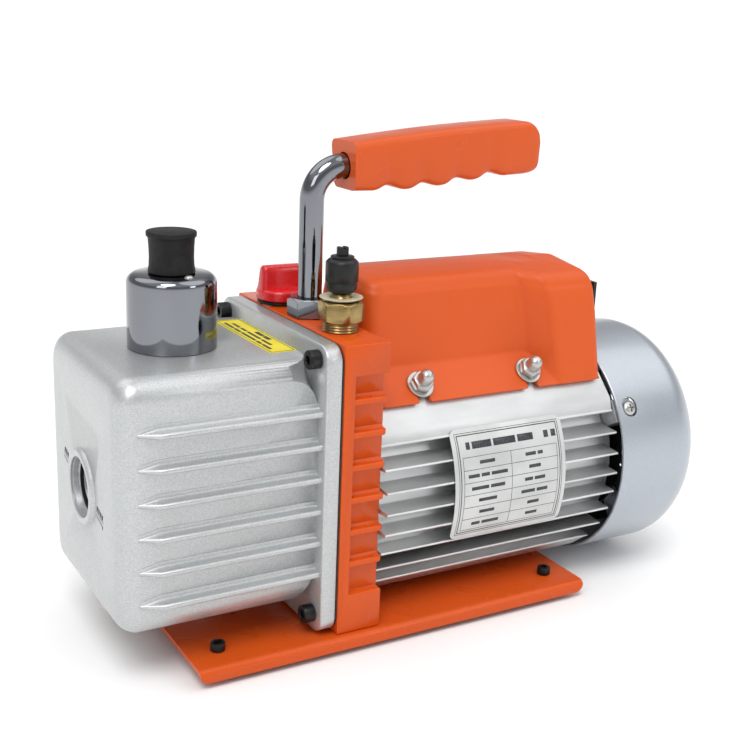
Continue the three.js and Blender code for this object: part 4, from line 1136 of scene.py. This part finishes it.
def inletCap():
    low, high = nodeBox("inlet_cap")
    centre = middleOf("inlet_fitting")
    at = (centre.x, centre.y, 0)
    foot, radius = low.z, inletLook["capRadius"]
    collar, bore, neck = radius - 0.35, 5.2, 5.3
    profile = [
        (bore, foot), (bore + 1.0, foot), (bore + 1.5, foot + 0.5), (collar - 0.15, foot + 2.4),
        (collar, foot + 3.2), (collar, foot + 4.1), (collar - 0.2, foot + 4.3), (collar - 0.2, foot + 4.7),
        (radius, foot + 5.0), (radius, foot + 13.2), (radius - 0.2, foot + 13.9), (neck + 1.0, foot + 15.1),
        (neck, foot + 15.4), (neck, foot + 15.7), (neck + 0.2, foot + 15.8), (neck + 0.2, foot + 16.4),
        (neck - 0.1, foot + 16.6), (0, foot + 16.7), (0, foot + 11), (bore, foot + 11), (bore, foot),
    ]
    bodyPart = lathe("cap_body", profile, at, segments=72)
    nub = extrude("cap_nub", "z", roundedRect(-2.6, 2.6, -1.7, 1.7, 0.8, 3), foot + 16.5, high.z, None, at)
    carve(nub, extrude("notch", "z", rect(-0.45, 0.45, -4, 4), high.z - 1.5, high.z + 1, None, at))
    softEdges(nub, 0.4, 2)
    applied(nub)
    cap = joined("flare_cap", [bodyPart, nub], blackMoulding)
    finished(cap, "black_plastic", "inlet_cap", "inlet_cap")


inletFitting()
inletCap()
print("inlet made")


ballastLook = {
    "seatRadius": 11.9,
    "seatHigh": 2.1,
    "bore": 4.3,
    "discRound": 1.6,
    # the knob's bar, from its foot up: (height, half length, half width)
    "bar": (
        (3.0, 12.2, 5.4), (5.6, 12.0, 4.6), (8, 11.8, 4.0), (13.5, 11.4, 3.5), (15.4, 11.1, 3.2),
        (16.5, 10.6, 2.4),
    ),
    "barTop": (9.8, 1.4),
}


def gasBallast():
    centre = middleOf("gas_ballast_valve")
    at = (centre.x, centre.y, 0)
    blockTop = nodeBox("pump_body")[1].z
    seatRadius, seatTop = ballastLook["seatRadius"], blockTop + ballastLook["seatHigh"]
    seatProfile = [
        (0, blockTop - 4), (5.1, blockTop - 4), (5.1, blockTop + 0.3), (seatRadius - 0.5, blockTop + 0.3),
        (seatRadius, blockTop + 0.7), (seatRadius, seatTop - 0.4), (seatRadius - 0.4, seatTop), (4, seatTop),
        (4, blockTop + 5), (0, blockTop + 5),
    ]
    seat = lathe("ballast_seat", seatProfile, at, finish=blackMoulding, segments=72)
    finished(seat, "black_plastic", "pump", "gas_ballast_valve")

    low, high = nodeBox("gas_ballast_knob")
    foot, radius = low.z, (high.y - low.y) / 2
    bore, r = ballastLook["bore"], ballastLook["discRound"]
    disc = [(bore, foot + 3.2), (bore, foot), (radius - 0.5, foot), (radius, foot + 0.5)]
    disc.append((radius, foot + 3.4))
    disc += arc(radius - r, foot + 3.6, r, 8, 70, 5)
    disc += [(7, foot + 6.2), (0, foot + 6.5), (0, foot + 3.2), (bore, foot + 3.2)]
    base = lathe("knob_base", disc, at, segments=96, angle=50)
    loops = []
    for z, long, wide in (*ballastLook["bar"], (high.z - foot, *ballastLook["barTop"])):
        outline = roundedRect(-long, long, -wide, wide, min(wide * 0.75, 2.6), 5)
        loops.append([(centre.x + x, centre.y + y, foot + z) for x, y in outline])
    bar = loft("knob_bar", loops, None, 50)
    knob = joined("ballast_handle", [base, bar], red)
    finished(knob, "red_plastic", "ballast_knob", "gas_ballast_knob")


gasBallast()
print("gas ballast made")


motorLook = {
    "root": 50.2,  # radius at the foot of the fins
    "fin": 61.4,
    "pad": 62.0,
    "topFlat": 55.0,
    "fins": 8,
    "firstFin": 31.0,
    "finPitch": 10.7,
    "finTip": 0.75,
    "finFoot": 1.35,
    "fillet": 1.6,
    "bottomFlat": (30, -54),
    "bore": 46.0,
    "shadeStripGap": 5.5,  # which gap between the fins the painted shade strips lie in
    "stripHigh": 2.4,
}


def finnedSide():
    # half of the housing's section, from the top's middle to the bottom's, as (y, z) from the shaft
    look = motorLook
    root, foot, tip, f = (look[k] for k in ("root", "finFoot", "finTip", "fillet"))
    padSum = look["pad"] * math.sqrt(2)

    def on(radius, z):
        return math.sqrt(max(0, radius * radius - z * z))

    def filletPoints(z, way):  # from the housing's round wall on to a fin's side, which faces up or down
        wallZ, sideZ = z + way * (foot + f), z + way * foot
        return [(on(root, wallZ), wallZ), (on(root, wallZ) + 0.4, z + way * (foot + f * 0.4)),
                (on(root, sideZ) + f * 1.1, sideZ)]

    side = [(0, look["topFlat"]), (padSum - look["topFlat"], look["topFlat"]), (root, padSum - root)]
    for i in range(look["fins"]):
        z = look["firstFin"] - i * look["finPitch"]
        if i > 0:
            side += filletPoints(z, 1)
        reach = on(look["fin"], z)
        upperTip = [(reach - 1.0, tip), (reach - 0.3, tip * 0.75), (reach, tip * 0.2)]
        side += [(y, z + w) for y, w in upperTip] + [(y, z - w) for y, w in reversed(upperTip)]
        if i < look["fins"] - 1:
            side += reversed(filletPoints(z, -1))
            lowZ, highZ = z - look["finPitch"] + foot + f, z - foot - f
            wall = [highZ + (lowZ - highZ) * k / 3 for k in (1, 2)]
            side += [(on(root, v), v) for v in wall]
    flat, bottom = look["bottomFlat"]
    return side + [(flat, bottom), (0, bottom)]


def motorHousing():
    low, high = nodeBox("motor_housing")
    half = finnedSide()
    outline = [(y, z + shaftZ) for y, z in half] + [(-y, z + shaftZ) for y, z in reversed(half[1:-1])]
    housing = extrude("finned_housing", "x", outline, low.x, high.x, aluminium, angle=28)
    radius = motorLook["bore"]
    boreProfile = [(0, low.x - 1), (radius, low.x - 1), (radius, high.x + 1), (0, high.x + 1)]
    carve(housing, lathe("bore", boreProfile, (0, 0, shaftZ), "x", segments=96))
    finished(housing, "bare_aluminium", "pump", "motor_housing")


def shadowStrips():  # painted shade: black strips low in one gap between the fins on each side, standing in for the shade that falls in that gap
    low, high = nodeBox("motor_housing")
    z = motorLook["firstFin"] - motorLook["shadeStripGap"] * motorLook["finPitch"]
    half = motorLook["finPitch"] / 2 - motorLook["finFoot"] - 0.25
    rows = [z - half + 2 * half * k / 4 for k in range(5)]
    wall = [(math.sqrt(motorLook["root"] ** 2 - v * v), v + shaftZ) for v in rows]
    for name, side in (("near", -1), ("far", 1)):
        outline = [(side * (y + motorLook["stripHigh"]), v) for y, v in wall]
        outline += [(side * (y - 0.5), v) for y, v in reversed(wall)]
        strip = extrude(f"fin_gap_shade_strip_{name}", "x", outline, low.x + 0.4, high.x - 0.4, blackMoulding)
        finished(strip, "black_plastic", "pump")


motorHousing()
shadowStrips()
print("motor housing made")


# the rating plate is bent over the fins
ratingLook = {
    "x0": 1.6, "x1": 69.1, "radius": 61.75,
    "top": 33.0, "bottom": -20.5,  # angles above and below the shaft
    "corner": 4.0, "thick": 0.35, "margin": 5.2, "headZ": 9.0, "tableTop": 14.5,
}
# the stand-in table's rows: word lengths of the left and of the right cell
ratingRows = [([5], [4, 2]), ([4, 3, 6], [4]), ([6, 5], [3, 4]), ([6], [5, 4]), ([5], [4]), ([3, 6], [4])]


def ratingPlace(u, v, lift):  # u along the shaft, v down the plate in millimetres of arc
    turn = math.radians(ratingLook["top"]) - v / ratingLook["radius"]
    r = ratingLook["radius"] + lift
    return (ratingLook["x0"] + u, -r * math.cos(turn), shaftZ + r * math.sin(turn))


def ratingMarks(wide, tall):
    marks = []
    for inset, thick in ((2.4, 0.25), (3.4, 0.45)):
        marks += borderMarks(inset, wide - inset, inset, tall - inset, thick)
    marks += greeked(8, wide * 0.72, ratingLook["headZ"], 3.6, [1.2, 6, 7, 5])
    marks += greeked(wide * 0.82, wide * 0.93, ratingLook["headZ"], 3.6, [1, 1])
    first, line, rows = ratingLook["tableTop"], 0.22, len(ratingRows)
    left, split, right = ratingLook["margin"], wide * 0.5, wide - ratingLook["margin"]
    rowTall = (tall - first - 5) / rows
    marks += [(left, right, first + rowTall * k, first + rowTall * k + line) for k in range(rows + 1)]
    marks += [(u, u + line, first, first + rows * rowTall) for u in (left, split, right)]
    for k, (name, value) in enumerate(ratingRows):
        v = first + rowTall * (k + 0.5)
        for cellLeft, cellRight, text in ((left, split, name), (split, right, value)):
            middle = (cellLeft + cellRight) / 2
            half = min(0.42 * (cellRight - cellLeft), 0.9 * sum(text))
            marks += greeked(middle - half, middle + half, v, 1.7, text)
    return marks


def ratingPlate():
    look = ratingLook
    wide = look["x1"] - look["x0"]
    tall = math.radians(look["top"] - look["bottom"]) * look["radius"]
    r, rows, columns = look["corner"], 40, 8
    roundStops = [r * (1 - math.cos(math.pi / 2 * i / 6)) for i in range(7)]
    stops = roundStops + [r + (tall - 2 * r) * i / rows for i in range(1, rows)]
    stops += [tall - stop for stop in reversed(roundStops)]
    points = []
    for v in stops:
        near = max(0.0, r - min(v, tall - v))
        inset = r - math.sqrt(max(0, r * r - near * near))
        points += [ratingPlace(inset + (wide - 2 * inset) * k / columns, v, 0) for k in range(columns + 1)]
    n = columns + 1
    faces = [(i * n + k, i * n + k + 1, (i + 1) * n + k + 1, (i + 1) * n + k)
             for i in range(len(stops) - 1) for k in range(columns)]
    plate = thicken(build("rating_plate", points, faces, plateFinish, 60), look["thick"])
    smoothMesh(plate.data, 40)
    finished(plate, "bare_aluminium", "pump")
    inkMarks("rating_print", ratingMarks(wide, tall), ratingPlace, look["thick"] / 2 + 0.04)


ratingPlate()
print("rating plate made")


boxLook = {
    "step": (65.6, 72.0),  # where the box widens towards its rear, at its foot
    "lean": 5.0,
    "narrow": (32.0, 24.0),  # half widths at the foot and at the top
    "wide": (45.5, 33.0),
    "crown": 5.5,
    "topRound": 6.0,
    "skirt": 65.0,
    "skirtEdge": 45.4,
    "skirtCorner": 8.0,
    "pad": 62.3,
    "screwX": (-7.1, 57.9),
    "footRise": 3.1,  # how far the box's foot is above the skirt's lowest edge
    "roof": 55.3,  # height of the flat over the housing's top
}


def boxOutline(t, inset):
    low, high = nodeBox("terminal_box")
    foot, top = low.z + boxLook["footRise"], high.z
    lift = foot + t * (top - foot)
    narrow, wide = (at + t * (above - at) - inset for at, above in (boxLook["narrow"], boxLook["wide"]))
    start, end = (s - boxLook["lean"] * t for s in boxLook["step"])
    front, rear = low.x + 5 * t + inset, high.x - inset
    r = 7.0 - 0.3 * inset
    half = [(front, 0)] + [(x, y) for x, y in arc(front + r, narrow - r, r, 180, 90, 6)]
    half += arc(start - 4, narrow + 4, 4, -90, -30, 4) + arc(end + 5, wide - 5, 5, 150, 90, 4)
    half += arc(rear - 4, wide - 4, 4, 90, 0, 5) + [(rear, 0)]
    loop = half[:-1] + [(x, -y) for x, y in reversed(half[1:])]
    return [(x, y, lift) for x, y in loop]


def terminalBox():
    low, high = nodeBox("terminal_box")
    crown, r = boxLook["crown"], boxLook["topRound"]

    def crowned(loop, fall):
        return [(x, y, z - crown * (y / 33) ** 2 - fall) for x, y, z in loop]

    loops = [boxOutline(t, 0) for t in (0, 0.2, 0.4, 0.6)]
    tall = high.z - low.z - boxLook["footRise"]
    loops.append(crowned(boxOutline(1 - (r + 0.01) / tall, 0), 0))
    for k in range(1, 7):
        a = math.pi / 2 * k / 6
        loops.append(crowned(boxOutline(1, r * (1 - math.cos(a))), r * (1 - math.sin(a))))
    for inset in (10, 16, 20):
        loops.append(crowned(boxOutline(1, inset), 0))
    shell = loft("box_shell", loops)
    line = boxLook["skirt"] * math.sqrt(2)
    skirts = []
    for side in (-1, 1):
        edge = boxLook["skirtEdge"]
        outer = ((18, 0), (edge, 0), (edge - 2.9, 2.9), (16, 4))
        outline = [(side * y, shaftZ + line - y - drop) for y, drop in outer]
        skirts.append(extrude("skirt", "x", outline, low.x, high.x - 0.4))
    merge(shell, *skirts)
    pad = boxLook["pad"] * math.sqrt(2)
    roof, far = boxLook["roof"], 75
    rightHalf = [(pad - roof, roof), (far, pad - far), (far, -20)]
    underside = [(-y, shaftZ + z) for y, z in reversed(rightHalf)] + [(y, shaftZ + z) for y, z in rightHalf]
    clearance = extrude("clearance", "x", underside, low.x - 5, high.x + 5)
    step = boxLook["step"][1]
    cavities = [
        extrude("cavity", "z", rect(start, end, -half, half), shaftZ + 50, 163.5)
        for start, end, half in ((low.x + 9, step, 20.5), (step - 4, high.x - 3, 31.5))
    ]
    cuts = [clearance, *cavities]
    for x in boxLook["screwX"]:
        for side in (-1, 1):
            slot = extrude("slot", "y", roundedRect(-2.9, 2.9, -32, 2.9, 2.8, 6), 58, 72)
            cuts.append(onSkirt(slot, x, side))
    for node in ("power_inlet", "switch_housing"):
        flangeLow, flangeHigh = nodeBox(node)
        opening = rect(flangeLow.y + 1.3, flangeHigh.y - 1.3, flangeLow.z + 1.3, flangeHigh.z - 1.3)
        cuts.append(extrude("opening", "x", opening, high.x - 9, high.x + 3))
    for side in (-1, 1):  # the skirt's front corner is round
        corner = boxLook["skirtCorner"]
        edge = boxLook["skirt"] - boxLook["skirtEdge"] * math.sqrt(2) - slopeShift(side)
        outline = [(low.x - 3, edge - 5), (low.x + corner, edge - 5)]
        outline += arc(low.x + corner, edge + corner, corner, -90, -180, 8) + [(low.x - 3, edge + corner)]
        cuts.append(onSkirt(extrude("corner", "y", outline, 61, 70), 0, side))
    carve(shell, *cuts)
    fine = shell.modifiers.new("fine", "REMESH")
    fine.mode = "VOXEL"
    fine.voxel_size = 0.62 * mm
    calm = shell.modifiers.new("calm", "SMOOTH")
    calm.factor = 0.5
    calm.iterations = 7
    applied(shell)
    shell.name = "terminal_moulding"
    smoothMesh(shell.data, 60)
    shell.data.materials.clear()
    shell.data.materials.append(stipple)
    finished(shell, "orange_plastic", "pump", "terminal_box")


def onSkirt(piece, x, side):  # lays a piece on a skirt, its +Y square to the slope and its +Z up the slope
    slope = math.radians(45)
    out = Vector((0, side * math.sin(slope), math.cos(slope)))
    upSlope = Vector((0, -side * math.cos(slope), math.sin(slope)))
    basis = Matrix((Vector((1, 0, 0)), out, upSlope)).transposed().to_4x4()
    moved(piece, Matrix.Translation((x, 0, shaftZ)) @ basis @ Matrix.Translation((0, 0, slopeShift(side))))
    if basis.determinant() < 0:
        piece.data.flip_normals()
    return piece


def slopeShift(side):  # how far up the slope from its middle the nuts sit
    centre = middleOf("cap_nut_1" if side < 0 else "cap_nut_2")
    return (centre.z - shaftZ - abs(centre.y)) / math.sqrt(2)


nutLook = {
    "flats": 10, "hexHigh": 4.1, "dome": 3.9,
    "washerBore": 2.6, "washerRadius": 7.0, "washerThick": 1.1,
}


def domeNuts():
    seat = boxLook["skirt"] + 0.3
    bore, radius, thick = (nutLook[k] for k in ("washerBore", "washerRadius", "washerThick"))
    washerProfile = [
        (bore, seat), (radius - 0.3, seat), (radius, seat + 0.3), (radius, seat + thick - 0.3),
        (radius - 0.3, seat + thick), (bore, seat + thick), (bore, seat),
    ]
    r = nutLook["dome"]
    domeProfile = [(0, seat + 4.6), (r, seat + 4.6), (r - 0.05, seat + 5.8), (r - 0.2, seat + 8.2)]
    domeProfile += arc(0.4, seat + 8.4, r - 0.65, 0, 78, 8) + [(0, seat + 11.7)]
    places = [(x, side) for x in boxLook["screwX"] for side in (-1, 1)]
    for number, (x, side) in enumerate(places, 1):
        washer = lathe("washer", washerProfile, axis="y", segments=56)
        hexFoot = seat + thick
        hexPart = chamferedHex("hex", hexFoot, hexFoot + nutLook["hexHigh"], (0, 0), nutLook["flats"],
                               8 + 13 * number, 0.9, 0.3)
        softEdges(hexPart, 0.2, 2, 25)
        applied(hexPart)
        moved(hexPart, Matrix.Rotation(math.radians(-90), 4, "X"))
        dome = lathe("dome", domeProfile, axis="y", segments=48, angle=50)
        nut = joined(f"dome_nut_{number}", [washer, hexPart, dome], zinc)
        onSkirt(nut, x, side)
        finished(nut, "zinc_steel", "pump", f"cap_nut_{number}")


terminalBox()
domeNuts()
print("terminal box made")


coverLook = {"radius": 63.8, "round": 19.0, "wall": 1.3, "screwAngles": (30, 150, 270), "screwX": 114.6}
slotRings = [{"inner": 14, "outer": 20, "count": 5}, {"inner": 26, "outer": 33, "count": 8}]


def radialMatrix(angle):  # turns +Z to point out from the shaft's line, the angle counted up from -Y
    a = math.radians(angle)
    out = Vector((0, -math.cos(a), math.sin(a)))
    across = Vector((1, 0, 0))
    basis = Matrix((across, out.cross(across), out)).transposed().to_4x4()
    return Matrix.Translation((coverLook["screwX"], 0, shaftZ)) @ basis


def fanCover():
    low, high = nodeBox("fan_cover")
    radius, r, wall = coverLook["radius"], coverLook["round"], coverLook["wall"]
    outer = arc(radius - r, high.x - r, r, 0, 90, 16)
    inner = arc(radius - r, high.x - r, r - wall, 90, 0, 12)
    profile = [(radius - wall, low.x), (radius - 0.3, low.x), (radius, low.x + 0.4)] + outer
    profile += [(0, high.x), (0, high.x - wall)] + inner + [(radius - wall, low.x)]
    shell = lathe("cover_shell", profile, (0, 0, shaftZ), "x", coverSilver, 160, 40)
    cuts = []
    for ring in slotRings:
        for k in range(ring["count"]):
            start = 360 * k / ring["count"]
            end = start + 360 / ring["count"] - math.degrees(6 / ring["outer"])
            outline = arc(0, 0, ring["outer"], start, end, 10) + arc(0, 0, ring["inner"], end, start, 10)
            cuts.append(extrude("slot", "x", outline, high.x - 4, high.x + 2, None, (0, 0, shaftZ)))
    for angle in coverLook["screwAngles"]:
        hole = extrude("hole", "z", roundedRect(-4.7, 4.7, -4.7, 6.2, 4.6, 8), radius - 8, radius + 4)
        cuts.append(moved(hole, radialMatrix(angle)))
    carve(shell, *cuts)
    finished(shell, "cover_paint", "pump", "fan_cover")


def coverScrews():
    seat = coverLook["radius"] - coverLook["wall"] - 0.3
    profile = [
        (0, seat - 9), (2, seat - 9), (2, seat), (4.0, seat), (4.0, seat + 0.6), (3.8, seat + 1.2),
        (3.2, seat + 1.9), (2.0, seat + 2.4), (0, seat + 2.6),
    ]
    for i, angle in enumerate(coverLook["screwAngles"], 1):
        head = lathe(f"cover_bolt_{i}", profile, finish=zinc, segments=48, angle=50)
        carve(head, *crossCut(2.2, 0.42, seat + 0.9, seat + 4))
        softEdges(head, 0.1, 1, 40)
        moved(head, radialMatrix(angle))
        finished(head, "zinc_steel", "pump", f"fan_cover_screw_{i}")


fanCover()
coverScrews()
print("fan cover made")


# the CAD nodes that stay as they are, and their finishes
keptNodes = {
    "tank_gasket": gasket, "oil_drain_plug": zinc, "mist_filter": nylon, "exhaust_valve": steel,
    "first_stage_cylinder": iron, "second_stage_cylinder": iron, "pump_end_cover": iron, "pump_rotor": steel,
    "vane_1_1": blackMoulding, "vane_1_2": blackMoulding,
    "vane_2_1": blackMoulding, "vane_2_2": blackMoulding,
    "motor_shaft": steel, "motor_rotor": steel, "front_bearing": steel, "rear_bearing": steel,
    "stator_core": iron, "stator_winding": copper, "rear_end_bell": castMetal, "cooling_fan": blackMoulding,
    "run_capacitor": whiteMoulding, "switch_housing": blackMoulding, "switch_rocker": blackMoulding,
    "power_inlet": blackMoulding,
}

for node, finish in keptNodes.items():
    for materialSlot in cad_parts[node].material_slots:
        materialSlot.material = finish
print("kept nodes finished")


studioLook = {
    "floor": 60,  # in metres
    "horizon": 1.6,
    "air": ((0.08, 1.4), (0.24, 0.5), (0.5, 0.45), (0.72, 1.0)),  # a dark band round the room
    "sky": (0.80, 0.81, 0.83, 1),
    "airStrength": 0.72,
    "target": (0, 0, 0.1),
    # each sun's place, spread in degrees and power
    "suns": {
        "key": ((-0.5, -0.7, 1.7), 28, 1.45),
        "fill": ((1.0, -0.3, 1.6), 50, 0.6),
        "back": ((-0.4, 0.9, 1.6), 50, 0.5),
    },
    # each soft panel's place, size and power
    "panels": {"softbox": ((-0.9, -0.7, 0.9), 0.5, 2.2), "strip": ((0.7, -1.1, 0.8), 0.35, 1.6)},
}


def makeFloor():
    floorPaper, tree, shader = newFinish("floor_paper", (0.90, 0.90, 0.895), 0.8)
    varyRoughness(tree, shader, noiseOf(tree, 60, 2), 0.75, 0.88)
    bpy.ops.mesh.primitive_plane_add(size=studioLook["floor"], location=(0, 0, -0.0002))
    floor = bpy.context.object
    floor.name = "floor"
    floor.data.materials.append(floorPaper)


def makeAir():
    world = bpy.data.worlds.new("studio")
    scene.world = world
    world.use_nodes = True
    nodes, links = world.node_tree.nodes, world.node_tree.links
    air = nodes["Background"]
    coords = nodes.new("ShaderNodeTexCoord")
    split = nodes.new("ShaderNodeSeparateXYZ")
    ramp = nodes.new("ShaderNodeValToRGB")
    links.new(coords.outputs["Generated"], split.inputs["Vector"])
    links.new(split.outputs["Z"], ramp.inputs["Fac"])
    links.new(ramp.outputs["Color"], air.inputs["Color"])
    stops = ramp.color_ramp.elements
    stops[0].position = 0.0
    stops[0].color = (studioLook["horizon"], studioLook["horizon"], studioLook["horizon"], 1)
    stops[1].position = 1.0
    stops[1].color = studioLook["sky"]
    for place, level in studioLook["air"]:
        stops.new(place).color = (level, level, level * 1.02, 1)
    air.inputs["Strength"].default_value = studioLook["airStrength"]


def aim(lamp, place):
    lamp.location = place
    lamp.rotation_euler = (Vector(studioLook["target"]) - Vector(place)).to_track_quat("-Z", "Y").to_euler()
    scene.collection.objects.link(lamp)


def makeLights():
    for name, (place, spread, power) in studioLook["suns"].items():
        data = bpy.data.lights.new(name, "SUN")
        data.angle = math.radians(spread)
        data.energy = power
        aim(bpy.data.objects.new(name, data), place)
    for name, (place, size, power) in studioLook["panels"].items():
        data = bpy.data.lights.new(name, "AREA")
        data.size = size
        data.energy = power
        aim(bpy.data.objects.new(name, data), place)


makeFloor()
makeAir()
makeLights()
scene.view_settings.view_transform = "Standard"
print("studio made")
